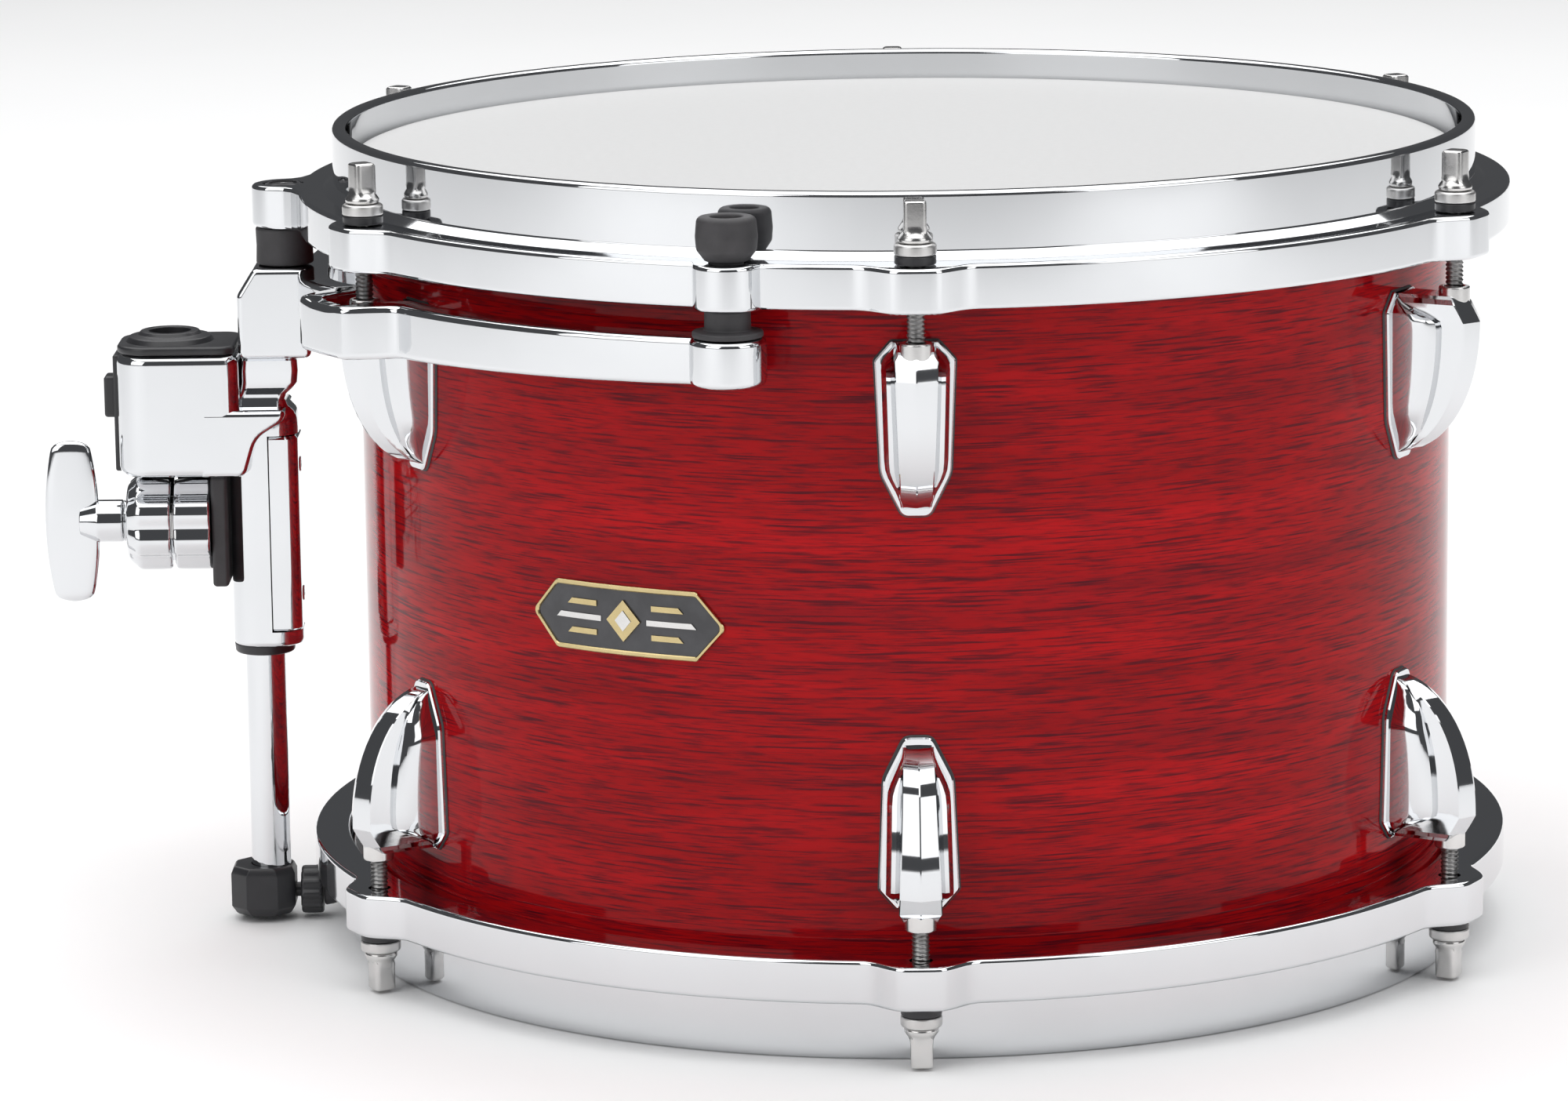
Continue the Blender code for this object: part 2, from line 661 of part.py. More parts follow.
def build_clamp_casting(chrome):
    """Housing, neck, web and sleeve as one casting, and the cap that grips the stabiliser rod."""
    parts = [
        box(WEB_X, both(NECK_HALF_DEPTH), WEB_Z),
        box(NECK_X, both(NECK_HALF_DEPTH), (SLEEVE_Z[1] - OVERLAP, NECK_TOP)),
        box(SLEEVE_X, both(SLEEVE_HALF_DEPTH), SLEEVE_Z),
    ]
    casting = add("clamp_bracket", box(HOUSING_X, both(HOUSING_HALF_DEPTH), HOUSING_Z), chrome)
    soften(casting, CASTING_ROUND)
    for number, part in enumerate(parts):
        piece = helper(f"casting_{number}", part, chrome)
        soften(piece, CASTING_ROUND * 0.5, 1)
        join(casting, piece)
    rod_axis = (STABILISER_X, 0.0)
    bore = lathe(((SLEEVE_BORE, SLEEVE_Z[0] - CUT_MARGIN), (SLEEVE_BORE, SLEEVE_BORE_TOP)), 16, rod_axis)
    socket_axis = (SOCKET_X, 0.0)
    socket = lathe(((HOUSING_BORE, HOUSING_Z[0] - CUT_MARGIN), (HOUSING_BORE, 0.0)), 20, socket_axis)
    window_x = (CAP_SPLIT_X - GAP / 2, 0.0)
    window_z = (CAP_Z[0] - GAP, CAP_Z[1] + GAP)
    window = box(window_x, both(SLEEVE_HALF_DEPTH + CUT_MARGIN), window_z)
    bore_cutter = helper("sleeve_bore", bore, chrome)
    cut(casting, helper("socket_bore", socket, chrome), helper("cap_window", window, chrome), bore_cutter)
    cap_x = (CAP_SPLIT_X + GAP / 2, SLEEVE_X[1])
    cap = add("sleeve_clamp_cap", box(cap_x, both(SLEEVE_HALF_DEPTH), CAP_Z), chrome)
    cut(cap, bore_cutter)


def build_socket_bush(plastic):
    """The flanged plastic bush that lines the holder-rod socket."""
    profile = (
        (SOCKET_RADIUS, BUSH_TOP),
        (BUSH_FLANGE, BUSH_TOP),
        (BUSH_FLANGE, HOUSING_Z[1] + GAP),
        (BUSH_RADIUS, HOUSING_Z[1] + GAP),
        (BUSH_RADIUS, HOUSING_Z[0]),
        (SOCKET_RADIUS, HOUSING_Z[0]),
    )
    add("rod_socket_bush", lathe(profile, 20, (SOCKET_X, 0.0), closed=True), plastic)


def build_clamp(chrome, steel, rubber):
    """Fixed seat, moving shoe, eye bolt and pad of the holder-rod clamp."""
    axis = (SOCKET_X, 0.0)
    low, high = CLAMP_Z - GROOVE_HALF_LENGTH, CLAMP_Z + GROOVE_HALF_LENGTH
    groove = lathe(((CLAMP_GROOVE, low), (CLAMP_GROOVE, high)), 20, axis)
    half = EYE_HALF_HEIGHT + CLAMP_CLEARANCE
    cavity_radius = EYE_OUTER + CLAMP_CLEARANCE
    cavity = lathe(((cavity_radius, CLAMP_Z - half), (cavity_radius, CLAMP_Z + half)), 20, axis)
    cutters = [helper("clamp_groove", groove, steel), helper("eye_cavity", cavity, steel)]
    seat = lathe_x([(x, CLAMP_RADIUS) for x in SEAT_X], 20, 0.0, CLAMP_Z)
    cut(add("clamp_seat", seat, chrome), *cutters)
    span = SHOE_X[1] - SHOE_X[0]
    dome = [(SHOE_X[0] + share * span, CLAMP_RADIUS * size) for share, size in SHOE_DOME]
    bore_radius = STEM_RADIUS + CLAMP_CLEARANCE
    bore = lathe_x([(SHOE_X[0] - CUT_MARGIN, bore_radius), (SOCKET_X, bore_radius)], 12, 0.0, CLAMP_Z)
    shoe_origin = (SHOE_X[0], 0.0, CLAMP_Z)
    shoe = add("clamp_shoe", lathe_x(dome, 20, 0.0, CLAMP_Z), chrome, shoe_origin)
    cut(shoe, *cutters, helper("stem_bore", bore, steel))
    ring = [(EYE_INNER, -EYE_HALF_HEIGHT), (EYE_OUTER, -EYE_HALF_HEIGHT)]
    ring += [(EYE_OUTER, EYE_HALF_HEIGHT), (EYE_INNER, EYE_HALF_HEIGHT)]
    eye_profile = [(radius, CLAMP_Z + z) for radius, z in ring]
    eye = add("clamp_eye_bolt", lathe(eye_profile, 20, axis, closed=True), steel)
    stem_root = SOCKET_X - (EYE_INNER + EYE_OUTER) / 2
    stem = lathe_x([(STEM_END, STEM_RADIUS), (stem_root, STEM_RADIUS)], 12, 0.0, CLAMP_Z)
    join(eye, helper("eye_stem", stem, steel))
    add("clamp_pad", box(PAD_X, both(PAD_HALF_DEPTH), PAD_Z), rubber)


def wing_ring(y):
    """The wing's outline in X and Z at one side of its thickness: waisted at the hub, round ends."""
    middle = sum(WING_X) / 2
    half = (WING_X[1] - WING_X[0]) / 2
    upper = []
    for share in (0.15, 0.6, 0.86, 0.97, 1.0):
        width = half * (1.0 - (1.0 - WING_TIP) * share ** 3)
        upper.append((width, share * WING_SPAN))
    right = [(middle + width, CLAMP_Z + z) for width, z in upper]
    left = [(middle - width, CLAMP_Z + z) for width, z in reversed(upper)]
    lower_left = [(middle - width, CLAMP_Z - z) for width, z in upper]
    lower_right = [(middle + width, CLAMP_Z - z) for width, z in reversed(upper)]
    return [(x, y, z) for x, z in right + left + lower_left + lower_right]


def build_wing_nut(chrome):
    rings = [wing_ring(y) for y in both(WING_HALF_THICKNESS)]
    origin = (WING_HUB_X[1], 0.0, CLAMP_Z)
    wing = add("wing_nut", loft(bmesh.new(), rings), chrome, origin)
    hub = lathe_x([(x, WING_HUB_RADIUS) for x in WING_HUB_X], 16, 0.0, CLAMP_Z)
    join(wing, helper("wing_hub", hub, chrome))
    bore_radius = STEM_RADIUS + GAP
    bore_x = (STEM_END - OVERLAP, WING_HUB_X[1] + CUT_MARGIN)
    bore = lathe_x([(x, bore_radius) for x in bore_x], 12, 0.0, CLAMP_Z)
    cut(wing, helper("wing_bore", bore, chrome))


def foot_outline():
    """The foot block seen from above, a square with its corners cut."""
    points = []
    for x, x_step, y, y_step in (
        (FOOT_X[1], -1, -FOOT_HALF_DEPTH, 1),
        (FOOT_X[1], -1, FOOT_HALF_DEPTH, -1),
        (FOOT_X[0], 1, FOOT_HALF_DEPTH, -1),
        (FOOT_X[0], 1, -FOOT_HALF_DEPTH, 1),
    ):
        along = (x + x_step * FOOT_CORNER, y)
        across = (x, y + y_step * FOOT_CORNER)
        points += [along, across] if x_step * y_step < 0 else [across, along]
    return points


def build_stabiliser(chrome, rubber, steel):
    """The rod in the sleeve, its foot block, and the thumbscrew with a rubber tip on the hoop."""
    rod_origin = (STABILISER_X, 0.0, STABILISER_Z[1])
    rod = lathe([(STABILISER_RADIUS, z) for z in STABILISER_Z], 20, (STABILISER_X, 0.0))
    add("stabiliser_rod", rod, chrome, rod_origin)
    foot_origin = (STABILISER_X, 0.0, FOOT_Z[1])
    foot = add("foot_block", prism(foot_outline(), *FOOT_Z), rubber, foot_origin)
    socket = [(STABILISER_RADIUS + GAP, z) for z in (STABILISER_Z[0] - GAP, 0.0)]
    screw_bore = [(SCREW_END - SCREW_ROOM, SCREW_BORE), (FOOT_X[1] + CUT_MARGIN, SCREW_BORE)]
    cut(
        foot,
        helper("foot_socket", lathe(socket, 20, (STABILISER_X, 0.0)), rubber),
        helper("foot_screw_bore", lathe_x(screw_bore, 12, 0.0, SCREW_Z), rubber),
    )
    origin = (KNOB_X[0], 0.0, SCREW_Z)
    knob = add("foot_thumbscrew", knob_bmesh(), rubber, origin)
    shaft = lathe_x([(SCREW_END, SCREW_RADIUS), (KNOB_X[0] + OVERLAP, SCREW_RADIUS)], 12, 0.0, SCREW_Z)
    join(knob, helper("thumbscrew_shaft", shaft, steel))
    tip = lathe_x([(TIP_X[0], TIP_RADIUS[0]), (TIP_X[1], TIP_RADIUS[1])], 16, 0.0, SCREW_Z)
    add("foot_tip", tip, rubber, (TIP_X[0], 0.0, SCREW_Z))


def knob_bmesh():
    """A fluted knob along X, its radius waving once for each lobe."""
    steps = KNOB_LOBES * 4
    rings = []
    for x in KNOB_X:
        ring = []
        for k in range(steps):
            angle = math.tau * k / steps
            radius = KNOB_RADIUS * (1.0 - KNOB_FLUTE * (1.0 - math.cos(KNOB_LOBES * angle)) / 2)
            ring.append((x, radius * math.sin(angle), SCREW_Z + radius * math.cos(angle)))
        rings.append(ring)
    return loft(bmesh.new(), rings)


def main():
    clear_scene()
    chrome = finish("chrome", (0.82, 0.83, 0.85), 0.06, 1.0)
    steel = finish("bright_steel", (0.70, 0.69, 0.67), 0.2, 1.0)
    lacquer = finish("red_lacquer", (0.33, 0.01, 0.02), 0.08, 0.0)
    film = finish("coated_film", (0.86, 0.87, 0.86), 0.6, 0.0)
    rubber = finish("black_rubber", (0.03, 0.03, 0.03), 0.65, 0.0)
    plastic = finish("black_plastic", (0.05, 0.05, 0.05), 0.45, 0.0)
    build_shell(lacquer)
    build_head("batter_head", film, lambda z: z)
    build_head("resonant_head", film, mirrored)
    build_hoop("batter_hoop", chrome, True, lambda z: z)
    build_hoop("resonant_hoop", chrome, False, mirrored)
    build_tuning(chrome, steel)
    build_frame(chrome)
    front, rear = side_lobes()
    build_side_grommet("grommet_front", "grommet_bolt_front", front, rubber, steel)
    build_side_grommet("grommet_rear", "grommet_bolt_rear", rear, rubber, steel)
    build_centre_grommet(rubber, steel)
    build_clamp_casting(chrome)
    build_socket_bush(plastic)
    build_clamp(chrome, steel, rubber)
    build_wing_nut(chrome)
    build_stabiliser(chrome, rubber, steel)


main()
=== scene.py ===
"""Looks of a rack tom drum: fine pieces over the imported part, and the plain studio they stand in.

The row frame's origin is the centre of the batter head's playing surface and Z is the drum's axis.
The first lug stands toward -Y and the suspension frame with its clamp toward -X. Sizes are in metres.
"""
import math

import bmesh
import bpy
from bpy.props import FloatProperty, FloatVectorProperty, IntProperty, PointerProperty
from mathutils import Matrix, Vector


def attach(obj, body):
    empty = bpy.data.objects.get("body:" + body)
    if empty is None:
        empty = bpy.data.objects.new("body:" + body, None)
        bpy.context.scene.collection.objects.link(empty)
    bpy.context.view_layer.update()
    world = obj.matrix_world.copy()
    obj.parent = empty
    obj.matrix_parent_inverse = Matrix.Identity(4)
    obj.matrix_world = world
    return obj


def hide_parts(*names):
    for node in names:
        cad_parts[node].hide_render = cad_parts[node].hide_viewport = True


bl_info = {
    "name": "Rack Tom Drum",
    "version": (1, 0, 0),
    "blender": (4, 5, 0),
    "location": "View3D > Sidebar > Tom",
    "description": "Fine pieces of a rack tom drum and the stage it stands on",
    "category": "Object",
}

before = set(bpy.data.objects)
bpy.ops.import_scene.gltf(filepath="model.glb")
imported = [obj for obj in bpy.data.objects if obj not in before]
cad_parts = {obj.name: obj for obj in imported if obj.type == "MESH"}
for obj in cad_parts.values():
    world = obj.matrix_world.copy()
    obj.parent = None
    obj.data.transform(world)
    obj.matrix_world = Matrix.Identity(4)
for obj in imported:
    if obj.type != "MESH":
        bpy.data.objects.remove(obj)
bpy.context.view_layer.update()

MM = 0.001

# Drum.
MID_Z = -114.5 * MM
SHELL_RADIUS = 164.4 * MM
SHELL_INNER = 158.4 * MM
SHELL_TOP = -0.8 * MM
BEARING_RADIUS = 162.6 * MM
FLOOR_Z = -237.8 * MM

# Hoops.
RIM_TOP = 8.8 * MM
RIM_RADIUS = 171.5 * MM
RIM_INNER = 167.0 * MM
RIM_ROOT = -7.7 * MM
FLANGE_STEP = 174.6 * MM
FLANGE_TOP = -9.9 * MM
FLANGE_BOTTOM = -22.7 * MM
FLANGE_RADIUS = 182.0 * MM
FLANGE_INNER = 171.2 * MM
SEAT_Z = -8.0 * MM
EAR_REACH = 8.0 * MM
EAR_DEG = (1.2, 5.4)
MOUNT_DEG = -90.0
VENT_DEG = 150.0
SIDE_LOBE_DEG = 73.4
SIDE_LOBE = (180.8 * MM, 9.6 * MM, 5.2 * MM)
CENTRE_LOBE = (187.0 * MM, 9.5 * MM, 6.2 * MM)

# Tension rods and lugs.
LUG_COUNT = 6
ROD_PITCH = 181.3 * MM
ROD_RADIUS = 2.65 * MM
ROD_HOLE = 3.3 * MM
ROD_END = -58.0 * MM
THREAD_TOP = -20.0 * MM
THREAD_END = -37.0 * MM
THREAD_PITCH = 1.25 * MM
THREAD_DEPTH = 0.5 * MM
LUG_TOP = -34.0 * MM
LUG_LENGTH = 46.8 * MM
LUG_BASE = 164.7 * MM
LUG_REACH = 24.7 * MM
LUG_NOSE = 0.16

# Suspension frame.
ARM_OUTER = 183.0 * MM
ARM_INNER = 173.5 * MM
BOW_OUTER = (13.5 * MM, 3.6, 7.0)
BOW_INNER = (17.1 * MM, 2.6, 4.6)
BOW_DEG = 30.0
ARM_HEIGHTS = ((0.0, -34.8, -49.0), (9.0, -34.8, -48.5), (23.0, -31.0, -47.0), (73.4, -30.7, -44.2))
BOSS_RADIUS = 10.8 * MM
BOSS_HOLE = 2.9 * MM

# Clamp and stabiliser axes.
SOCKET_X = -222.5 * MM
CLAMP_Z = -113.0 * MM
STABILISER_X = -196.2 * MM
SCREW_Z = -229.2 * MM

# Badge.
BADGE_DEG = -30.0
BADGE_Z = -116.3 * MM

# Stage: each light has a name, place, target, width, height and power.
LIGHTS = (
    ("key", (-1.5, -1.5, 0.75), (0.0, 0.0, -0.15), 1.7, 1.5, 12.0),
    ("fill", (1.5, -1.3, 0.6), (0.0, 0.0, -0.15), 1.2, 1.3, 7.0),
    ("top", (0.0, 0.6, 2.4), (0.0, 0.6, 0.0), 4.4, 5.4, 160.0),
)
AIR_COLOUR = (0.93, 0.95, 1.0, 1.0)
AIR_STRENGTH = 0.08
CAMERA_SPOT = (0.0, -1.9002, 0.2489)
CAMERA_SPIN_DEG = -1.0
CAMERA_YAW, CAMERA_PITCH, CAMERA_ROLL = -0.0196138, 0.194181, -0.0123674
CAMERA_LENS, CAMERA_SENSOR = 145.73, 36.0

ROUND_STEPS = 4
CREASE_DEG = 38.0
CASTING_CREASE_DEG = 30.0


# --- shapes ---------------------------------------------------------------------------------------


def polar(degrees, radius):
    """A point round the drum; 0 degrees is toward -Y and positive angles go toward +X."""
    angle = math.radians(degrees)
    return (radius * math.sin(angle), -radius * math.cos(angle))


def mirrored(z):
    """The same height measured from the resonant head."""
    return 2 * MID_Z - z


def same(z):
    """A height at the batter head, as it is."""
    return z


def wrap(degrees):
    """An angle brought between -180 and 180."""
    return (degrees + 180.0) % 360.0 - 180.0


def ease(offset, flat, end):
    """1 within flat, easing to 0 at end."""
    share = min(max((abs(offset) - flat) / (end - flat), 0.0), 1.0)
    return math.cos(share * math.pi / 2) ** 2


def lug_angles():
    """Where the lugs stand round the shell."""
    return [wrap(k * 360.0 / LUG_COUNT) for k in range(LUG_COUNT)]


def side_lobes():
    """Where the frame's arms end, the front one first."""
    return (MOUNT_DEG + SIDE_LOBE_DEG, MOUNT_DEG - SIDE_LOBE_DEG)


def scaled(points):
    """Sizes written in millimetres, as metres."""
    return [tuple(value * MM for value in point) for point in points]


def rounded(corners, closed=True, steps=ROUND_STEPS):
    """Round off a flat outline of (a, b, radius) corners; each rounded one becomes steps + 1 points."""
    points = []
    for k, (a, b, radius) in enumerate(corners):
        if radius <= 0.0 or (not closed and k in (0, len(corners) - 1)):
            points.append((a, b))
            continue
        here = Vector((a, b))
        before = Vector(corners[k - 1][:2]) - here
        after = Vector(corners[(k + 1) % len(corners)][:2]) - here
        half = before.angle(after) / 2
        reach = min(radius / math.tan(half), 0.48 * min(before.length, after.length))
        radius = reach * math.tan(half)
        middle = here + (before.normalized() + after.normalized()).normalized() * radius / math.sin(half)
        first = here + before.normalized() * reach - middle
        last = here + after.normalized() * reach - middle
        start = math.atan2(first.y, first.x)
        turn = (math.atan2(last.y, last.x) - start + math.pi) % math.tau - math.pi
        for step in range(steps + 1):
            angle = start + turn * step / steps
            points.append((middle.x + radius * math.cos(angle), middle.y + radius * math.sin(angle)))
    return points


def drawn(corners, closed=True):
    """Round off an outline written in millimetres."""
    return rounded(scaled(corners), closed)


def skin(rings, ends="cap", bm=None):
    """Faces over a list of closed rings of points. ends is cap, join or open."""
    bm = bm or bmesh.new()
    rows = [[bm.verts.new(point) for point in ring] for ring in rings]
    count = len(rows[0])
    pairs = list(zip(rows, rows[1:]))
    if ends == "join":
        pairs.append((rows[-1], rows[0]))
    for first, second in pairs:
        for k in range(count):
            bm.faces.new((first[k], first[(k + 1) % count], second[(k + 1) % count], second[k]))
    if ends == "cap":
        bm.faces.new(rows[0])
        bm.faces.new(rows[-1])
    return bm


def turned(profile, segments, centre=(0.0, 0.0), ends="join", bm=None):
    """Turn a closed (radius, z) outline, or one capped at its ends, round a vertical axis."""
    step = math.tau / segments
    spokes = [(math.cos(k * step), math.sin(k * step)) for k in range(segments)]
    rings = []
    for radius, z in profile:
        rings.append([(centre[0] + radius * x, centre[1] + radius * y, z) for x, y in spokes])
    return skin(rings, ends, bm)


def drill(radius, low, high, x, segments=40):
    """A cylinder to cut with, on a vertical axis in the mount's middle plane."""
    return turned([(radius, low), (radius, high)], segments, (x, 0.0), "cap")


def turned_x(profile, segments, z, bm=None):
    """Turn (x, radius) points round an axis along X in the mount's middle plane."""
    step = math.tau / segments
    spokes = [(math.sin(k * step), math.cos(k * step)) for k in range(segments)]
    rings = [[(x, radius * y, z + radius * up) for y, up in spokes] for x, radius in profile]
    return skin(rings, bm=bm)


def fluted_x(profile, flutes, depth, z, segments=128):
    """Like turned_x, with shallow flutes along the sides that fade toward the middle of each end."""
    widest = max(radius for _, radius in profile)
    rings = []
    for x, radius in profile:
        ring = []
        for k in range(segments):
            angle = math.tau * k / segments
            wave = (1.0 + math.cos(flutes * angle)) / 2
            reach = radius - depth * wave ** 1.5 * (radius / widest) ** 4
            ring.append((x, reach * math.sin(angle), z + reach * math.cos(angle)))
        rings.append(ring)
    return skin(rings)


def block(x, half, z, radius, bm=None):
    """A box with rounded edges, half deep each side of the mount's middle plane, in millimetres."""
    part = bmesh.new()
    corners = scaled([(x[0], -half), (x[1], -half), (x[1], half), (x[0], half)])
    skin([[(a, b, level * MM) for a, b in corners] for level in z], "cap", part)
    bmesh.ops.bevel(part, geom=part.edges[:], offset=radius * MM, segments=ROUND_STEPS, profile=0.5,
                    affect="EDGES")
    return merge(bm, part)


def inset(corners, amount):
    """Move every side of a flat outline inward by an amount, keeping its (a, b, radius) corners."""
    area = sum(p[0] * q[1] - q[0] * p[1] for p, q in zip(corners, corners[1:] + corners[:1]))
    inward = 1.0 if area > 0.0 else -1.0
    moved = []
    for k, (a, b, radius) in enumerate(corners):
        before = Vector((a, b)) - Vector(corners[k - 1][:2])
        after = Vector(corners[(k + 1) % len(corners)][:2]) - Vector((a, b))
        first = Vector((-before.y, before.x)).normalized() * inward
        second = Vector((-after.y, after.x)).normalized() * inward
        shift = (first + second) / (1.0 + first.dot(second)) * amount
        turn = (before.x * after.y - before.y * after.x) * inward
        grown = radius - amount if turn > 0.0 else radius + amount
        moved.append((a + shift.x, b + shift.y, max(grown, 0.15 * MM) if radius > 0.0 else 0.0))
    return moved


def plate(corners, low, high, axis="Z", edge=0.0, steps=ROUND_STEPS, bm=None):
    """An outline of (a, b, radius) corners given a thickness along an axis, its rim edges rounded."""
    place_at = {
        "Z": lambda a, b, level: (a, b, level),
        "Y": lambda a, b, level: (a, level, b),
        "X": lambda a, b, level: (level, a, b),
    }[axis]
    levels = [(low, 0.0), (high, 0.0)]
    if edge > 0.0:
        turns = [math.pi / 2 * step / ROUND_STEPS for step in range(ROUND_STEPS + 1)]
        rise = [(edge * (1.0 - math.sin(turn)), edge * (1.0 - math.cos(turn))) for turn in turns]
        levels = [(low + up, back) for back, up in rise]
        levels += [(high - up, back) for back, up in reversed(rise)]
    rings = []
    for level, back in levels:
        rings.append([place_at(a, b, level) for a, b in rounded(inset(corners, back), steps=steps)])
    return merge(bm, skin(rings))


def merge(bm, part):
    """Add part to bm, or give part back if there is no bm yet."""
    if bm is None:
        return part
    mesh = bpy.data.meshes.new("merge")
    part.to_mesh(mesh)
    part.free()
    bm.from_mesh(mesh)
    bpy.data.meshes.remove(mesh)
    return bm


def quads(bm, lines):
    """Faces between neighbouring lines of vertices."""
    for first, second in zip(lines, lines[1:]):
        for k in range(len(first) - 1):
            bm.faces.new((first[k], first[k + 1], second[k + 1], second[k]))


def mesh_of(name, bm, *keys, crease=CREASE_DEG):
    """A smooth mesh in the finishes of the keys, sharp where faces meet at more than the crease."""
    bmesh.ops.recalc_face_normals(bm, faces=bm.faces)
    mesh = bpy.data.meshes.new(name)
    bm.to_mesh(mesh)
    bm.free()
    for key in keys:
        mesh.materials.append(finish(key))
    mesh.shade_smooth()
    mesh.set_sharp_from_angle(angle=math.radians(crease))
    return mesh


def linked(name, data):
    """A new object in the scene."""
    item = bpy.data.objects.new(name, data)
    bpy.context.scene.collection.objects.link(item)
    return item


def even_shading(item):
    """Weigh normals by face size, so that rounded edges shade cleanly."""
    normals = item.modifiers.new("Even shading", "WEIGHTED_NORMAL")
    normals.keep_sharp = True


def place(name, mesh, matrix=None):
    """Put a mesh in the scene as a piece of the drum."""
    item = linked(name, mesh)
    if matrix is not None:
        item.matrix_world = matrix
    even_shading(item)
    return item


def carve(item, *tools):
    """Cut bmesh tools out of a placed item and keep the result as its mesh."""
    item.modifiers.clear()
    cutters = []
    for tool in tools:
        cutter = linked("cutter", mesh_of("cutter", tool))
        cutter.data.materials.append(item.data.materials[0])
        modifier = item.modifiers.new("Cut", "BOOLEAN")
        modifier.solver = "EXACT"
        modifier.use_self = True
        modifier.object = cutter
        cutters.append(cutter)
    graph = bpy.context.evaluated_depsgraph_get()
    mesh = bpy.data.meshes.new_from_object(item.evaluated_get(graph))
    item.modifiers.clear()
    mesh.set_sharp_from_angle(angle=math.radians(CREASE_DEG))
    item.data = mesh
    for cutter in cutters:
        bpy.data.objects.remove(cutter)
    even_shading(item)


def settle(item, body, slot, *nodes):
    """Let an item ride a body and stand for CAD nodes; the slot is not used."""
    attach(item, body)
    if nodes:
        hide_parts(*nodes)


def piece(name, bm, key, *nodes, body="drum", crease=CREASE_DEG, tools=(), matrix=None):
    """Place a bmesh as a piece in one finish, cut by tools, riding a body and standing for CAD nodes."""
    item = place(name, mesh_of(name, bm, key, crease=crease), matrix)
    if tools:
        carve(item, *tools)
    settle(item, body, FINISHES[key][0], *nodes)


def repaint(mesh, index, test):
    """Give faces whose centre passes the test another material of the mesh."""
    for polygon in mesh.polygons:
        if test(polygon.center):
            polygon.material_index = index


# --- finishes -------------------------------------------------------------------------------------

# Each finish has the record's slot, its material's name, the colour it starts from, the shares of that
# colour in its dark and light parts, the size of its noise and what else sets it apart.
FINISHES = {
    "lacquer": ("red_lacquer", "Red lacquer", "lacquer", 0.85, 1.3, 14.0,
                {"stretch": (0.6, 0.6, 7.0), "rough": (0.04, 0.07), "ior": 1.2, "detail": 6.0}),
    "veneer": ("red_lacquer", "Bare maple", "wood", 0.8, 1.0, 24.0,
               {"stretch": (0.5, 0.5, 10.0), "rough": (0.45, 0.6), "bump": 0.1}),
    "chrome": ("chrome", "Chrome plating", "chrome", 0.97, 1.0, 30.0,
               {"metallic": 1.0, "rough": (0.035, 0.06)}),
    "steel": ("bright_steel", "Zinc steel", "steel", 0.88, 1.0, 160.0,
              {"metallic": 1.0, "rough": (0.16, 0.3), "bump": 0.05, "grain": 900.0}),
    "satin_steel": ("bright_steel", "Satin steel", "steel", 0.9, 1.0, 240.0,
                    {"metallic": 1.0, "rough": (0.34, 0.46), "bump": 0.08, "grain": 1200.0}),
    "thread_steel": ("bright_steel", "Thread steel", "steel", 0.357, 0.42, 200.0,
                     {"metallic": 1.0, "rough": (0.3, 0.42)}),
    "film": ("coated_film", "Coated film", "film", 0.965, 1.0, 420.0,
             {"rough": (0.5, 0.7), "bump": 0.35, "grain": 1400.0}),
    "rubber": ("black_rubber", "Black rubber", "rubber", 0.8, 1.15, 180.0,
               {"rough": (0.5, 0.66), "bump": 0.2, "grain": 1800.0}),
    "plastic": ("black_plastic", "Black plastic", "plastic", 0.85, 1.1, 140.0,
                {"rough": (0.3, 0.42), "bump": 0.1, "grain": 2200.0}),
    "gilt": ("bright_steel", "Satin gilt", "gilt", 0.85, 1.0, 200.0, {"metallic": 1.0, "rough": (0.2, 0.32)}),
    "enamel": ("bright_steel", "Dark enamel", "enamel", 0.8, 1.2, 120.0, {"rough": (0.12, 0.2)}),
    "paper": (None, "Pale paper", "floor", 0.985, 1.0, 3.0, {"rough": (0.8, 0.9)}),
}

# Layers of dark pores in the lacquered veneer: noise size, stretch, where they start and end, and depth.
PORES = ((52.0, 30.0, (0.5, 0.66), 0.85), (120.0, 15.0, (0.48, 0.7), 0.6), (9.0, 9.0, (0.5, 0.75), 0.4))


def joined(tree, kind, **values):
    """A new shader node with values, or sockets to read, on its inputs; names have _ for a space."""
    made = tree.nodes.new("ShaderNode" + kind)
    for name, value in values.items():
        socket = made.inputs[name.replace("_", " ")]
        if isinstance(value, bpy.types.NodeSocket):
            tree.links.new(value, socket)
        else:
            socket.default_value = value
    return made


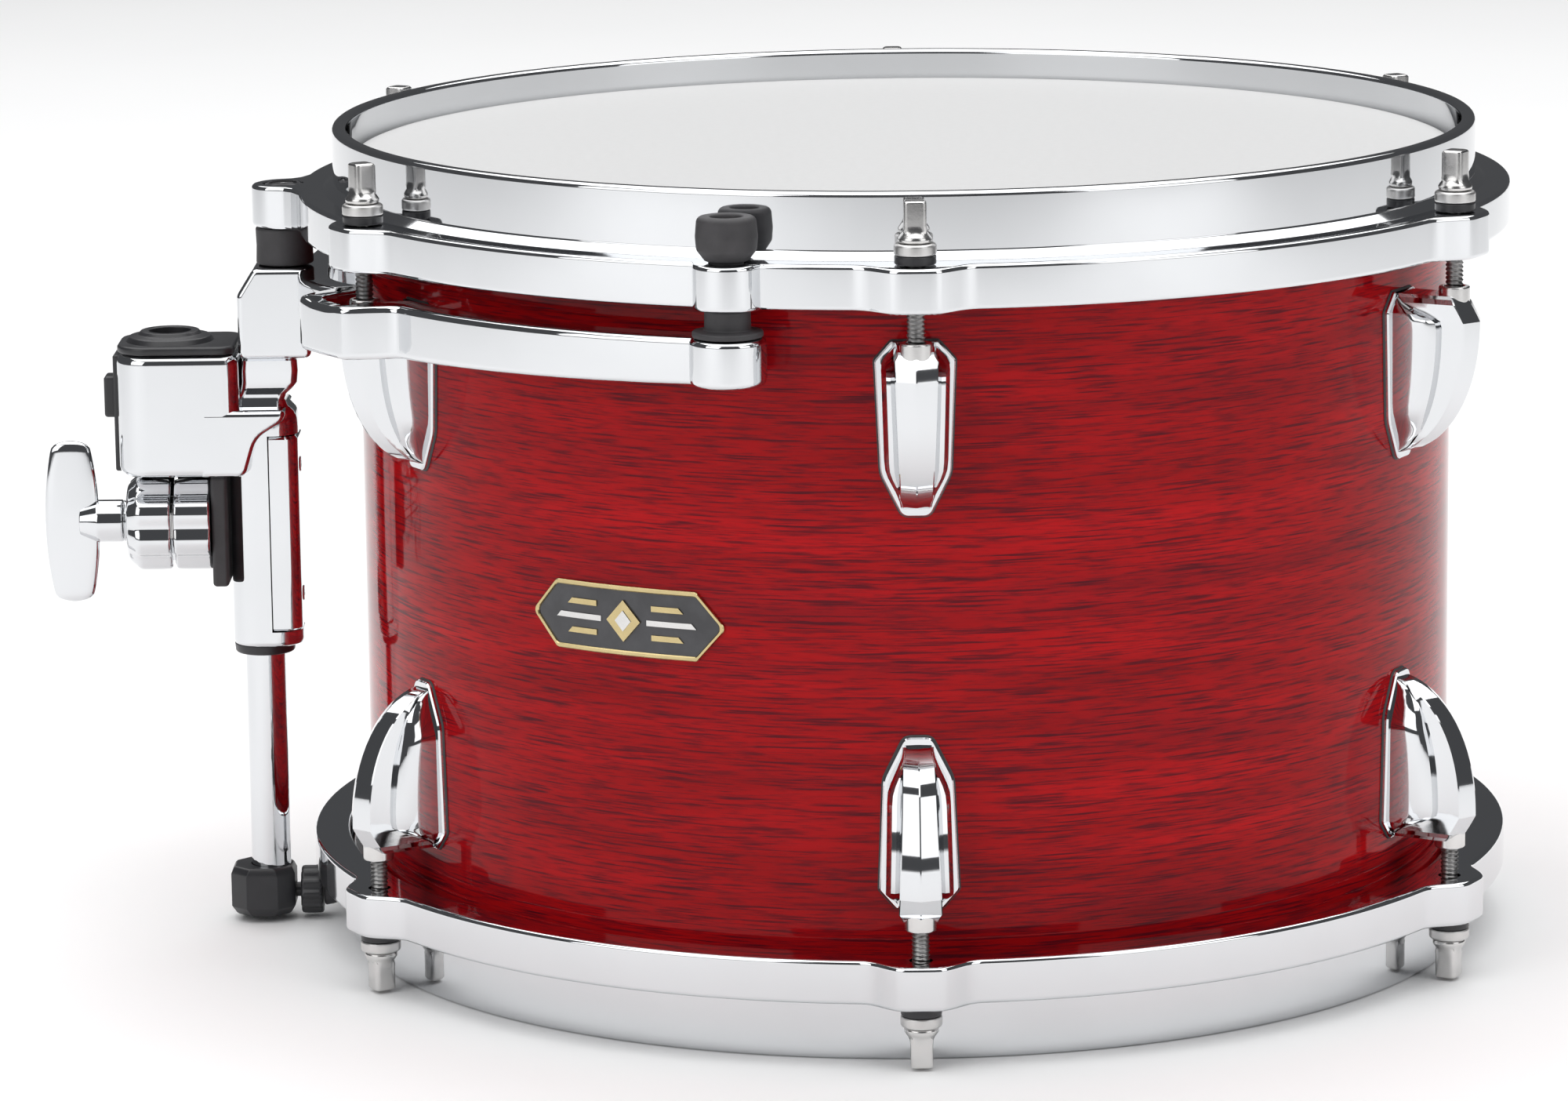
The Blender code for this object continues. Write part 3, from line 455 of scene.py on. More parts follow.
def mottled(name, dark, light, scale, stretch=(1.0, 1.0, 1.0), metallic=0.0, rough=(0.3, 0.4), bump=0.0,
            grain=400.0, ior=1.5, detail=4.0):
    """A finish whose colour and roughness drift with noise, with an optional fine relief."""
    material = bpy.data.materials.new(name)
    material.use_nodes = True
    tree = material.node_tree
    shader = tree.nodes["Principled BSDF"]
    spot = tree.nodes.new("ShaderNodeTexCoord").outputs["Object"]
    stretched = joined(tree, "Mapping", Vector=spot, Scale=stretch).outputs["Vector"]
    noise = joined(tree, "TexNoise", Vector=stretched, Scale=scale, Detail=detail).outputs["Fac"]
    tint = joined(tree, "ValToRGB", Fac=noise)
    tint.color_ramp.elements[0].position = 0.32
    tint.color_ramp.elements[0].color = (*dark, 1.0)
    tint.color_ramp.elements[1].position = 0.68
    tint.color_ramp.elements[1].color = (*light, 1.0)
    tree.links.new(tint.outputs["Color"], shader.inputs["Base Color"])
    spread = joined(tree, "MapRange", Value=noise, To_Min=rough[0], To_Max=rough[1])
    tree.links.new(spread.outputs["Result"], shader.inputs["Roughness"])
    shader.inputs["Metallic"].default_value = metallic
    shader.inputs["IOR"].default_value = ior
    if bump > 0.0:
        fine = joined(tree, "TexNoise", Vector=spot, Scale=grain, Detail=2.0).outputs["Fac"]
        relief = joined(tree, "Bump", Height=fine, Strength=bump, Distance=0.2 * MM)
        tree.links.new(relief.outputs["Normal"], shader.inputs["Normal"])
    return material


def tinted(colour, by):
    """A colour made darker or lighter."""
    return tuple(min(max(part * by, 0.0), 1.0) for part in colour)


def add_pores(material):
    """Darken a finish along a grain of pores that runs round the shell."""
    tree = material.node_tree
    shader = tree.nodes["Principled BSDF"]
    base = shader.inputs["Base Color"].links[0].from_socket
    spot = tree.nodes.new("ShaderNodeTexCoord").outputs["Object"]
    for scale, stretch, ends, depth in PORES:
        run = joined(tree, "Mapping", Vector=spot, Scale=(1.0, 1.0, stretch)).outputs["Vector"]
        pores = joined(tree, "TexNoise", Vector=run, Scale=scale, Detail=3.0, Distortion=0.12).outputs["Fac"]
        share = joined(tree, "MapRange", Value=pores, From_Min=ends[0], From_Max=ends[1], To_Max=depth)
        mix = tree.nodes.new("ShaderNodeMix")
        mix.data_type = "RGBA"
        tree.links.new(share.outputs["Result"], mix.inputs["Factor"])
        tree.links.new(base, mix.inputs["A"])
        mix.inputs["B"].default_value = (*bpy.context.scene.tom_colours.grain, 1.0)
        base = mix.outputs["Result"]
    tree.links.new(base, shader.inputs["Base Color"])


def finish(key):
    """The material of a finish, made the first time that it is asked for."""
    name, colour, dark, light, scale, looks = FINISHES[key][1:]
    found = bpy.data.materials.get(name)
    if found:
        return found
    start = getattr(bpy.context.scene.tom_colours, colour)
    material = mottled(name, tinted(start, dark), tinted(start, light), scale, **looks)
    if key == "lacquer":
        add_pores(material)
    return material


# --- settings -------------------------------------------------------------------------------------


class TomSizes(bpy.types.PropertyGroup):
    """Sizes of the visual pieces that a user may want to change."""

    shell_sides: IntProperty(
        name="Shell sides", description="How many flat sides the shell and heads are turned with",
        default=240, min=48, max=720)
    rim_round: FloatProperty(
        name="Rim rounding", description="Radius on the top of the hoop's rim wall", default=1.5 * MM,
        unit="LENGTH")
    flange_round: FloatProperty(
        name="Flange rounding", description="Radius on the outer edges of the hoop's flange",
        default=1.3 * MM, unit="LENGTH")
    arm_round: FloatProperty(
        name="Arm rounding", description="Radius on the edges of the suspension arms", default=2.0 * MM,
        unit="LENGTH")
    casting_round: FloatProperty(
        name="Casting rounding", description="Radius on the edges of the clamp casting", default=3.0 * MM,
        unit="LENGTH")
    badge_width: FloatProperty(
        name="Badge width", description="Length of the plain badge round the shell", default=64.0 * MM,
        unit="LENGTH")
    badge_height: FloatProperty(
        name="Badge height", description="Height of the plain badge", default=20.0 * MM, unit="LENGTH")


class TomColours(bpy.types.PropertyGroup):
    """Colours of the finishes."""

    lacquer: FloatVectorProperty(
        name="Lacquer", description="Colour of the shell", default=(0.36, 0.005, 0.007), subtype="COLOR")
    grain: FloatVectorProperty(
        name="Grain", description="Dark pores in the shell's veneer", default=(0.07, 0.006, 0.012),
        subtype="COLOR")
    wood: FloatVectorProperty(
        name="Bare wood", description="Inside of the shell", default=(0.62, 0.42, 0.24), subtype="COLOR")
    chrome: FloatVectorProperty(
        name="Chrome", description="Plated castings and hoops", default=(0.71, 0.72, 0.735), subtype="COLOR")
    steel: FloatVectorProperty(
        name="Steel", description="Rods, washers and bolts", default=(0.72, 0.71, 0.70), subtype="COLOR")
    film: FloatVectorProperty(
        name="Film", description="Coated drumhead", default=(0.6, 0.6, 0.6), subtype="COLOR")
    rubber: FloatVectorProperty(
        name="Rubber", description="Grommets, tip and washers", default=(0.045, 0.043, 0.046),
        subtype="COLOR")
    plastic: FloatVectorProperty(
        name="Plastic", description="Bushes, foot block and knob", default=(0.026, 0.026, 0.029),
        subtype="COLOR")
    gilt: FloatVectorProperty(
        name="Gilt", description="Rim of the badge", default=(0.62, 0.5, 0.26), subtype="COLOR")
    enamel: FloatVectorProperty(
        name="Enamel", description="Field of the badge", default=(0.05, 0.05, 0.055), subtype="COLOR")
    floor: FloatVectorProperty(
        name="Floor", description="Floor and backdrop", default=(0.97, 0.97, 0.97), subtype="COLOR")


# --- shell and heads ------------------------------------------------------------------------------


def make_shell(sizes):
    """The lacquered tube with rounded bearing edges, bare wood inside."""
    upper = [
        (SHELL_INNER, SHELL_TOP - 4.2 * MM),
        (BEARING_RADIUS - 0.4 * MM, SHELL_TOP - 0.1 * MM),
        (BEARING_RADIUS + 0.3 * MM, SHELL_TOP),
        (SHELL_RADIUS - 0.3 * MM, SHELL_TOP - 0.6 * MM),
        (SHELL_RADIUS, SHELL_TOP - 1.8 * MM),
    ]
    profile = upper + [(radius, mirrored(z)) for radius, z in reversed(upper)]
    mesh = mesh_of("shell_fine", turned(profile, sizes.shell_sides), "lacquer", "veneer")
    limit = (SHELL_RADIUS - 1.0 * MM) ** 2
    repaint(mesh, 1, lambda centre: centre.x ** 2 + centre.y ** 2 < limit)
    settle(place("shell_fine", mesh), "drum", "red_lacquer", "shell")


def make_vent():
    """A plain metal eyelet round the air hole at the back of the shell."""
    profile = drawn([(3.2, 0.2, 0.1), (3.2, 1.2, 0.4), (6.4, 0.9, 0.4), (7.2, 0, 0), (3.2, -1.5, 0)])
    turn = Matrix.Rotation(math.radians(VENT_DEG), 4, "Z") @ Matrix.Translation((0.0, -SHELL_RADIUS, MID_Z))
    turn = turn @ Matrix.Rotation(math.pi / 2, 4, "X")
    piece("vent_eyelet", turned(profile, 32), "chrome", matrix=turn)


def make_head(name, node, sizes, level):
    """The coated film over its bearing edge, and the metal flesh hoop crimped on it."""
    upper = [(2, 0), (60, 0), (110, 0), (150, 0), (161.6, 0), (163.4, -0.15), (164.8, -0.7), (165.7, -1.6),
             (166, -3), (166, -8.3)]
    lower = [(165.5, -8.3), (165.5, -3), (165.2, -1.9), (164.4, -1.15), (163.2, -0.6), (161.6, -0.5),
             (2, -0.5)]
    profile = [(radius, level(z)) for radius, z in scaled(upper + lower)]
    piece(name, turned(profile, sizes.shell_sides, ends="cap"), "film", node)
    section = drawn([(165.5, -8.5, 0.3), (170.4, -8.5, 1.4), (170.4, -18, 0.8), (165.2, -18, 0.4)])
    ring = [(radius, level(z)) for radius, z in section]
    piece(name + "_flesh_hoop", turned(ring, sizes.shell_sides), "steel")


# --- hoops ----------------------------------------------------------------------------------------


def lobe_reach(offset, pitch, radius):
    """How far a round lobe reaches from the drum's axis, offset degrees from its centre."""
    across = pitch * math.sin(math.radians(offset))
    if abs(across) >= radius:
        return 0.0
    return pitch * math.cos(math.radians(offset)) + math.sqrt(radius ** 2 - across ** 2)


def hoop_reach(degrees, with_lobes):
    """How far the hoop's flange reaches from the drum's axis at an angle."""
    reach = FLANGE_RADIUS + EAR_REACH * max(ease(wrap(degrees - lug), *EAR_DEG) for lug in lug_angles())
    if with_lobes:
        for lobe in side_lobes():
            reach = max(reach, lobe_reach(wrap(degrees - lobe), *SIDE_LOBE[:2]))
        offset = wrap(degrees - MOUNT_DEG)
        reach = max(reach, lobe_reach(offset, *CENTRE_LOBE[:2]))
        reach = max(reach, FLANGE_RADIUS + EAR_REACH * ease(offset, *EAR_DEG))
    return reach


def hoop_angles(with_lobes):
    """Angles round the hoop, close together at each ear and closer still at each lobe."""
    ears = lug_angles()
    lobes = [*side_lobes(), MOUNT_DEG] if with_lobes else []
    angles = {round(wrap(2.0 * k), 3) for k in range(180)}
    angles |= {round(wrap(ear + 0.55 * k), 3) for ear in ears for k in range(-11, 12)}
    angles |= {round(wrap(lobe + 0.22 * k), 3) for lobe in lobes for k in range(-17, 18)}
    ordered = sorted(angles)
    return [a for a, b in zip(ordered, ordered[1:] + [ordered[0] + 360.0]) if b - a > 0.08]


def make_hoop(name, node, with_lobes, sizes, level):
    """The die-cast hoop: rim wall, flange, ears, lobes and their holes."""
    rings = []
    for degrees in hoop_angles(with_lobes):
        reach = hoop_reach(degrees, with_lobes)
        section = rounded(
            [
                (RIM_RADIUS, RIM_TOP, sizes.rim_round),
                (RIM_RADIUS, RIM_ROOT, 0.8 * MM),
                (FLANGE_STEP, FLANGE_TOP, 0.5 * MM),
                (reach, FLANGE_TOP, sizes.flange_round),
                (reach, FLANGE_BOTTOM, sizes.flange_round),
                (FLANGE_INNER, FLANGE_BOTTOM, 0.8 * MM),
                (FLANGE_INNER, SEAT_Z, 0.3 * MM),
                (RIM_INNER, SEAT_Z, 0.4 * MM),
                (RIM_INNER, RIM_TOP, sizes.rim_round),
            ]
        )
        rings.append([(*polar(degrees, radius), level(z)) for radius, z in section])
    holes = [(lug, ROD_PITCH, ROD_HOLE) for lug in lug_angles()]
    if with_lobes:
        holes += [(lobe, SIDE_LOBE[0], SIDE_LOBE[2]) for lobe in side_lobes()]
        holes.append((MOUNT_DEG, CENTRE_LOBE[0], CENTRE_LOBE[2]))
    drills = bmesh.new()
    for degrees, pitch, radius in holes:
        ends = [(radius, level(FLANGE_BOTTOM - 0.01)), (radius, level(-5.0 * MM))]
        turned(ends, 28, polar(degrees, pitch), "cap", drills)
    piece(name, skin(rings, "join"), "chrome", node, tools=[drills])


# --- lugs, rods and washers -----------------------------------------------------------------------


def stations(reach):
    """Tag and place of each lug, six at the batter end and six turned over at the resonant end."""
    for end, flip in (("batter", 0.0), ("resonant", math.pi)):
        for number, degrees in enumerate(lug_angles(), 1):
            turn = Matrix.Translation((*polar(degrees, reach), MID_Z))
            turn = turn @ Matrix.Rotation(math.radians(degrees), 4, "Z") @ Matrix.Rotation(flip, 4, "Y")
            yield f"{end}_{number}", turn


def from_middle(profile):
    """A (radius, z) outline with its heights measured from the shell's middle."""
    return [(radius, z - MID_Z) for radius, z in profile]


def lug_height(share):
    """How far the ridge stands off the shell, share of the way from the nut end to the tip."""
    if share < LUG_NOSE:
        return LUG_REACH * (0.8 + 0.2 * (share / LUG_NOSE) ** 0.8)
    bend = (share - LUG_NOSE) / (1.0 - LUG_NOSE)
    return LUG_REACH * max(math.sqrt(1.0 - bend ** 2.1), 0.09)


def lug_ring(share):
    """One cross-section of a lug: two rounded cheeks and a creased ridge between them."""
    height = lug_height(share)
    risen = 1.0 - ease(share, 0.0, 0.18)
    cheek = height * 0.62 * (0.12 + 0.88 * risen)
    wide = (9.8 - 1.2 * share - 4.2 * (1.0 - ease(share, 0.7, 1.0)) - 3.8 * ease(share, 0.0, 0.12)) * MM
    ridge = min((6.2 - 1.8 * share) * MM, wide * 0.85)
    edge = height - min(2.2 * MM, height * 0.2)
    side = [
        (wide, 0.0),
        (wide, cheek * 0.5),
        (wide - 0.15 * MM, cheek * 0.7),
        (wide - 0.6 * MM, cheek * 0.86),
        (wide - 1.4 * MM, cheek * 0.97),
        (0.5 * (wide - 1.4 * MM + ridge), cheek),
        (ridge + 0.25 * MM, cheek * 0.96),
        (ridge + 0.05 * MM, cheek + 0.3 * (edge - cheek)),
        (ridge, edge - 0.35 * MM),
        (ridge - 0.3 * MM, edge),
        (0.2 * MM, height),
    ]
    outline = side + [(-x, y) for x, y in reversed(side)]
    ring = []
    for x, y in outline:
        base = math.sqrt(LUG_BASE ** 2 - x ** 2)
        z = LUG_TOP - LUG_LENGTH * share
        ring.append((x, -(base + y), z - MID_Z))
    return ring


def lug_mesh():
    """A lug's casting and the plate it stands on, with sections closer together where it bends."""
    shares = [0.0, 0.02, 0.05, 0.08, 0.11, 0.14, LUG_NOSE, 0.2, 0.26, 0.32, 0.38, 0.44, 0.5, 0.56, 0.62, 0.68,
              0.74, 0.79, 0.84, 0.88, 0.91, 0.94, 0.965, 0.985, 1.0]
    bm = skin([lug_ring(share) for share in shares])
    lug_seat(bm, 0.5 * MM, 1.0, 1.2 * MM)
    return mesh_of("lug", bm, "chrome", crease=17.0)


def lug_seat(bm, lift, grow, thick):
    """A thin house-shaped plate that follows the shell under a lug."""
    corners = scaled([(-11.3, -39, 1.2), (-6.6, -33.6, 1.2), (6.6, -33.6, 1.2), (11.3, -39, 1.2),
                      (9.9, -71, 9), (3.9, -83, 2.8), (-3.9, -83, 2.8), (-9.9, -71, 9)])
    rings = []
    for up, back in ((0.0, 0.0), (thick * 0.6, 0.0), (thick, 0.4 * MM)):
        ring = []
        for x, z in rounded(inset(corners, back + (1.0 - grow) * 10.0 * MM)):
            ring.append((x, -(math.sqrt(SHELL_RADIUS ** 2 - x ** 2) + lift + up), z - MID_Z))
        rings.append(ring)
    skin(rings, "cap", bm)


def gasket_mesh():
    """The thin dark seat between a lug and the shell."""
    bm = bmesh.new()
    lug_seat(bm, -0.4 * MM, 1.045, 0.95 * MM)
    return mesh_of("lug_gasket", bm, "rubber")


def nut_mesh():
    """The swivel nut's collar, standing proud of the lug's end round the tension rod."""
    profile = drawn([(3, -31.4, 0.3), (4.5, -31.4, 0.6), (4.5, -37, 0), (3, -37, 0)])
    return mesh_of("swivel_nut", turned(from_middle(profile), 28, (0.0, -ROD_PITCH)), "steel")


def screw_mesh():
    """The screw and washer inside the shell that hold a lug on."""
    bm = turned(drawn([(2, 0, 0), (7, 0, 0), (7, 1.2, 0.4), (2, 1.2, 0)]), 24)
    turned(drawn([(0.4, 4.4, 0), (4, 4.4, 0.8), (4, 1.2, 0), (0.4, 1.2, 0)]), 6, bm=bm)
    return mesh_of("lug_screw", bm, "steel")


def make_lugs():
    """Every lug with its seat, its nut and the two screws inside the shell."""
    lug, gasket, nut, screw = lug_mesh(), gasket_mesh(), nut_mesh(), screw_mesh()
    for tag, turn in stations(0.0):
        settle(place(f"lug_{tag}_fine", lug, turn), "drum", "chrome", f"lug_{tag}")
        settle(place(f"lug_{tag}_gasket", gasket, turn), "drum", "black_rubber")
        settle(place(f"lug_{tag}_nut", nut, turn), "drum", "bright_steel")
        for k, z in enumerate((-47.0, -68.0)):
            spot = turn @ Matrix.Translation((0.0, -SHELL_INNER + 0.3 * MM, z * MM - MID_Z))
            spot = spot @ Matrix.Rotation(-math.pi / 2, 4, "X")
            settle(place(f"lug_{tag}_screw_{k}", screw, spot), "drum", "bright_steel")


def square_ring(half, corner, z, count=32):
    """A ring round the rod's axis that is square for a small corner and round for a corner of half."""
    points = []
    for k in range(count):
        angle = math.tau * k / count
        x, y = math.cos(angle), math.sin(angle)
        reach = half / max(abs(x), abs(y))
        limit = math.hypot(half, half)
        flat = min(reach, limit - corner * 0.41 * (1.0 - abs(abs(x) - abs(y))))
        points.append((flat * x, flat * y, z - MID_Z))
    return points


def rod_mesh():
    """Square head flared to a collar, plain shank and a cut thread."""
    head = ((8, 2.3, 0.8), (7.8, 2.8, 0.8), (7.3, 3.15, 0.8), (1.2, 3.15, 0.8), (-0.1, 3.35, 1.2))
    collar = ((-1, 3.9), (-1.8, 4.5), (-2.4, 4.85), (-3.1, 4.9), (-3.5, 4.6), (-3.5, 2.65), (-20, 2.65))
    rings = [square_ring(half, corner, z) for z, half, corner in scaled(head)]
    rings += [circle_ring(radius, z) for z, radius in scaled(collar)]
    steps = int((THREAD_TOP - THREAD_END) / THREAD_PITCH * 5)
    rings += [thread_ring(THREAD_TOP - step * THREAD_PITCH / 5) for step in range(1, steps)]
    rings += [circle_ring(ROD_RADIUS - THREAD_DEPTH, z) for z in (THREAD_END, ROD_END)]
    mesh = mesh_of("tension_rod", skin(rings), "steel", "thread_steel", crease=50.0)
    repaint(mesh, 1, lambda centre: centre.z < THREAD_TOP - MID_Z)
    return mesh


def circle_ring(radius, z, count=32):
    """A ring round the rod's axis."""
    turn = math.tau / count
    return [(radius * math.cos(k * turn), radius * math.sin(k * turn), z - MID_Z) for k in range(count)]


def thread_ring(z, count=32):
    """A ring whose radius follows a helical groove."""
    points = []
    for k in range(count):
        phase = (z / THREAD_PITCH + k / count) % 1.0
        radius = ROD_RADIUS - THREAD_DEPTH * (1.0 - abs(2.0 * phase - 1.0))
        angle = math.tau * k / count
        points.append((radius * math.cos(angle), radius * math.sin(angle), z - MID_Z))
    return points


def washer_meshes():
    """The steel washer under a rod's collar and the black one on the hoop."""
    upper = drawn([(3, -3.8, 0.4), (5.9, -3.8, 0.9), (5.9, -7, 0.5), (3, -7, 0.3)])
    lower = drawn([(3, -7.1, 0.3), (5.8, -7.1, 0.5), (5.8, -9.6, 0.4), (3, -9.6, 0.3)])
    return (mesh_of("steel_washer", turned(from_middle(upper), 32), "satin_steel"),
            mesh_of("black_washer", turned(from_middle(lower), 32), "plastic"))


def make_rods():
    """Every tension rod with its two washers."""
    rod = rod_mesh()
    bright, dark = washer_meshes()
    for tag, turn in stations(ROD_PITCH):
        body = f"washer_{tag}"
        settle(place(f"rod_{tag}_fine", rod, turn), f"rod_{tag}", "bright_steel", f"tension_rod_{tag}")
        settle(place(f"washer_{tag}_steel", bright, turn), body, "bright_steel", f"rod_washer_{tag}")
        settle(place(f"washer_{tag}_black", dark, turn), body, "black_plastic")


# --- suspension frame and grommets ----------------------------------------------------------------


def arm_level(offset, column):
    """Height of an arm's top (column 1) or bottom (column 2), offset degrees from the frame's middle."""
    for near, far in zip(ARM_HEIGHTS, ARM_HEIGHTS[1:]):
        if offset <= far[0]:
            share = (offset - near[0]) / (far[0] - near[0])
            return (near[column] + share * (far[column] - near[column])) * MM
    return ARM_HEIGHTS[-1][column] * MM


def arm_ring(side, offset, sizes):
    """One rounded cross-section of an arm, offset degrees from the middle of the frame."""
    bow = abs(offset - BOW_DEG)
    outer = ARM_OUTER + BOW_OUTER[0] * ease(bow, *BOW_OUTER[1:])
    inner = ARM_INNER + BOW_INNER[0] * ease(bow, *BOW_INNER[1:])
    top, bottom = arm_level(offset, 1), arm_level(offset, 2)
    if bow < 4.0:
        top -= 0.8 * MM * ease(bow, 1.0, 4.0)
    corners = ((inner, bottom, 0.8 * MM), (outer, bottom, sizes.arm_round), (outer, top, sizes.arm_round),
               (inner, top, 0.8 * MM))
    degrees = MOUNT_DEG + side * offset
    return [(*polar(degrees, radius), z) for radius, z in rounded(corners)]


def make_frame(sizes):
    """Two bowed arms, a boss at each end and the block in the middle, as one casting."""
    offsets = [0.0, 3.0, 6.0, 9.0, 13.0, 17.0, 20.0, 22.0] + [23.0 + 0.5 * k for k in range(29)]
    offsets += [38.0, 40.0, 43.0, 46.0, 50.0, 54.0, 58.0, 62.0, 66.0, 70.0, 71.5]
    rings = [arm_ring(-1, offset, sizes) for offset in reversed(offsets[1:])]
    rings += [arm_ring(1, offset, sizes) for offset in offsets]
    bm = skin(rings)
    top, bottom = ARM_HEIGHTS[-1][1] * MM, ARM_HEIGHTS[-1][2] * MM
    boss = rounded([(BOSS_HOLE, bottom, 0.0), (BOSS_RADIUS, bottom, 2.2 * MM), (BOSS_RADIUS, top, 1.6 * MM),
                    (BOSS_HOLE, top, 0.0)])
    for lobe in side_lobes():
        turned(boss, 40, polar(lobe, SIDE_LOBE[0]), bm=bm)
    corners = scaled([(-201, -61.8, 2), (-201, -42.5, 3), (-196, -34.5, 2.5), (-179, -34.5, 2),
                      (-179, -61.8, 2)])
    plate(corners, -12.0 * MM, 12.0 * MM, "Y", 1.6 * MM, bm=bm)
    piece("frame_fine", bm, "chrome", "suspension_frame", crease=CASTING_CREASE_DEG)


def make_grommet(tag, outline, centre, seat, top, end):
    """A rubber bush, and the round-headed bolt in its recess with a hexagon socket in its head."""
    piece(f"grommet_{tag}_fine", turned(drawn(outline), 40, centre), "rubber", f"grommet_{tag}")
    bolt = drawn([(1.6, top - 1.6, 0), (1.6, top, 0.1), (4, top, 0.6), (4, seat, 0.2), (2.5, seat, 0.2),
                  (2.5, end, 0.3), (0.2, end, 0), (0.2, top - 1.6, 0)])
    piece(f"bolt_{tag}", turned(bolt, 24, centre), "steel", f"grommet_bolt_{tag}")


def make_grommets():
    """The capped grommets at the ends of the arms and the plain cushion in the middle."""
    capped = [(4.4, 3.1, 0.8), (8.2, 3.1, 1.6), (8.7, -2.5, 3), (8.4, -6.2, 1.6), (6.2, -9.1, 0.6),
              (4.8, -9.6, 0), (4.8, -23, 0), (6.4, -23, 0.4), (6.5, -28.4, 0.6), (9.9, -28.8, 0.5),
              (9.9, -30.4, 0.4), (2.9, -30.4, 0), (2.9, -1.9, 0), (4.4, -1.9, 0.3)]
    plain = [(4.4, -11, 0.4), (5.8, -11, 0.5), (5.8, -23, 0), (8.7, -23, 0.8), (8.5, -28.5, 6),
             (8.7, -34.2, 0.8), (2.9, -34.2, 0), (2.9, -14.6, 0), (4.4, -14.6, 0.2)]
    for tag, lobe in zip(("front", "rear"), side_lobes()):
        make_grommet(tag, capped, polar(lobe, SIDE_LOBE[0]), -1.6, 1.4, -43.9)
    make_grommet("centre", plain, polar(MOUNT_DEG, CENTRE_LOBE[0]), -14.3, -11.7, -48.0)


# --- clamp ----------------------------------------------------------------------------------------


def stem_rings(rows, inner=None):
    """Rounded rectangles stacked along Z, each row being (z, low x, high x, half depth, radius), in
    millimetres; inner is the radius of the corners at low x where it differs."""
    rings = []
    for z, low, high, half, radius in scaled(rows):
        near = radius if inner is None else inner * MM
        corners = [(low, -half, near), (high, -half, radius), (high, half, radius), (low, half, near)]
        rings.append([(a, b, z) for a, b in rounded(corners, steps=8)])
    return rings


def make_housing(sizes):
    """The casting's housing round the holder rod's socket."""
    corners = scaled([(-238.4, -16, 10), (-201, -16, 5), (-201, 16, 5), (-238.4, 16, 10)])
    housing = plate(corners, -97.4 * MM, -59.9 * MM, "Z", sizes.casting_round, 8)
    socket = drill(8.4 * MM, -0.12, 0.0, SOCKET_X, 48)
    piece("casting_housing", housing, "chrome", "clamp_bracket", crease=CASTING_CREASE_DEG, tools=[socket])


def make_sleeve():
    """The casting's neck and sleeve, its web, and the clamp cap with its two screws."""
    rows = [(-62.1, -200, -184.3, 8.4, 2), (-62.8, -200.6, -183.7, 9, 2.4), (-66, -201, -183.5, 9, 2.6),
            (-69.6, -201, -183.8, 8.8, 2.6), (-71.6, -201.4, -185.2, 8.2, 2.6), (-73.2, -202, -187, 7.6, 2.6),
            (-75, -203, -187.8, 7.6, 2.6), (-77, -204.2, -187, 8.4, 3.8), (-78.8, -205, -185.2, 9.6, 5.6),
            (-81, -205.3, -184.3, 10.4, 7.4), (-84, -205.4, -184.1, 10.5, 8),
            (-149.4, -205.4, -184.1, 10.5, 8), (-150.4, -205.1, -184.4, 10.2, 7.8),
            (-150.8, -204.6, -184.9, 9.7, 7.4)]
    window = plate(scaled([(-193.15, -14, 0), (-180, -14, 0), (-180, 14, 0), (-193.15, 14, 0)]),
                   -146.3 * MM, -85.7 * MM)
    corners = scaled([(-213, -77, 1), (-186.6, -77, 1.6), (-188, -80.5, 4), (-196, -85.5, 8),
                      (-199.6, -97.3, 3), (-213, -97.3, 1)])
    web = plate(corners, -16.05 * MM, 16.05 * MM, "Y", 1.8 * MM)
    cap = [(-86, -192.85, -184.9, 9.7, 7.6), (-86.8, -192.85, -184.1, 10.5, 7.6),
           (-145.2, -192.85, -184.1, 10.5, 7.6), (-146, -192.85, -184.9, 9.7, 7.6)]
    for name, bm, nodes, high, tools in (
        ("casting_sleeve", skin(stem_rings(rows)), (), -84.0 * MM, [window]),
        ("casting_web", web, (), -84.0 * MM, []),
        ("sleeve_cap_fine", skin(stem_rings(cap, 0.2)), ("sleeve_clamp_cap",), -0.08, []),
    ):
        bore = drill(6.3 * MM, -0.17, high, STABILISER_X)
        piece(name, bm, "chrome", *nodes, crease=CASTING_CREASE_DEG, tools=[bore, *tools])
    profile = scaled([(-185.5, 2.4), (-184.1, 2.4), (-183.8, 2.1), (-183.8, 1.1), (-184.6, 1)])
    for k, z in enumerate((-96.0, -136.0)):
        piece(f"cap_screw_{k}", turned_x(profile, 24, z * MM), "steel")


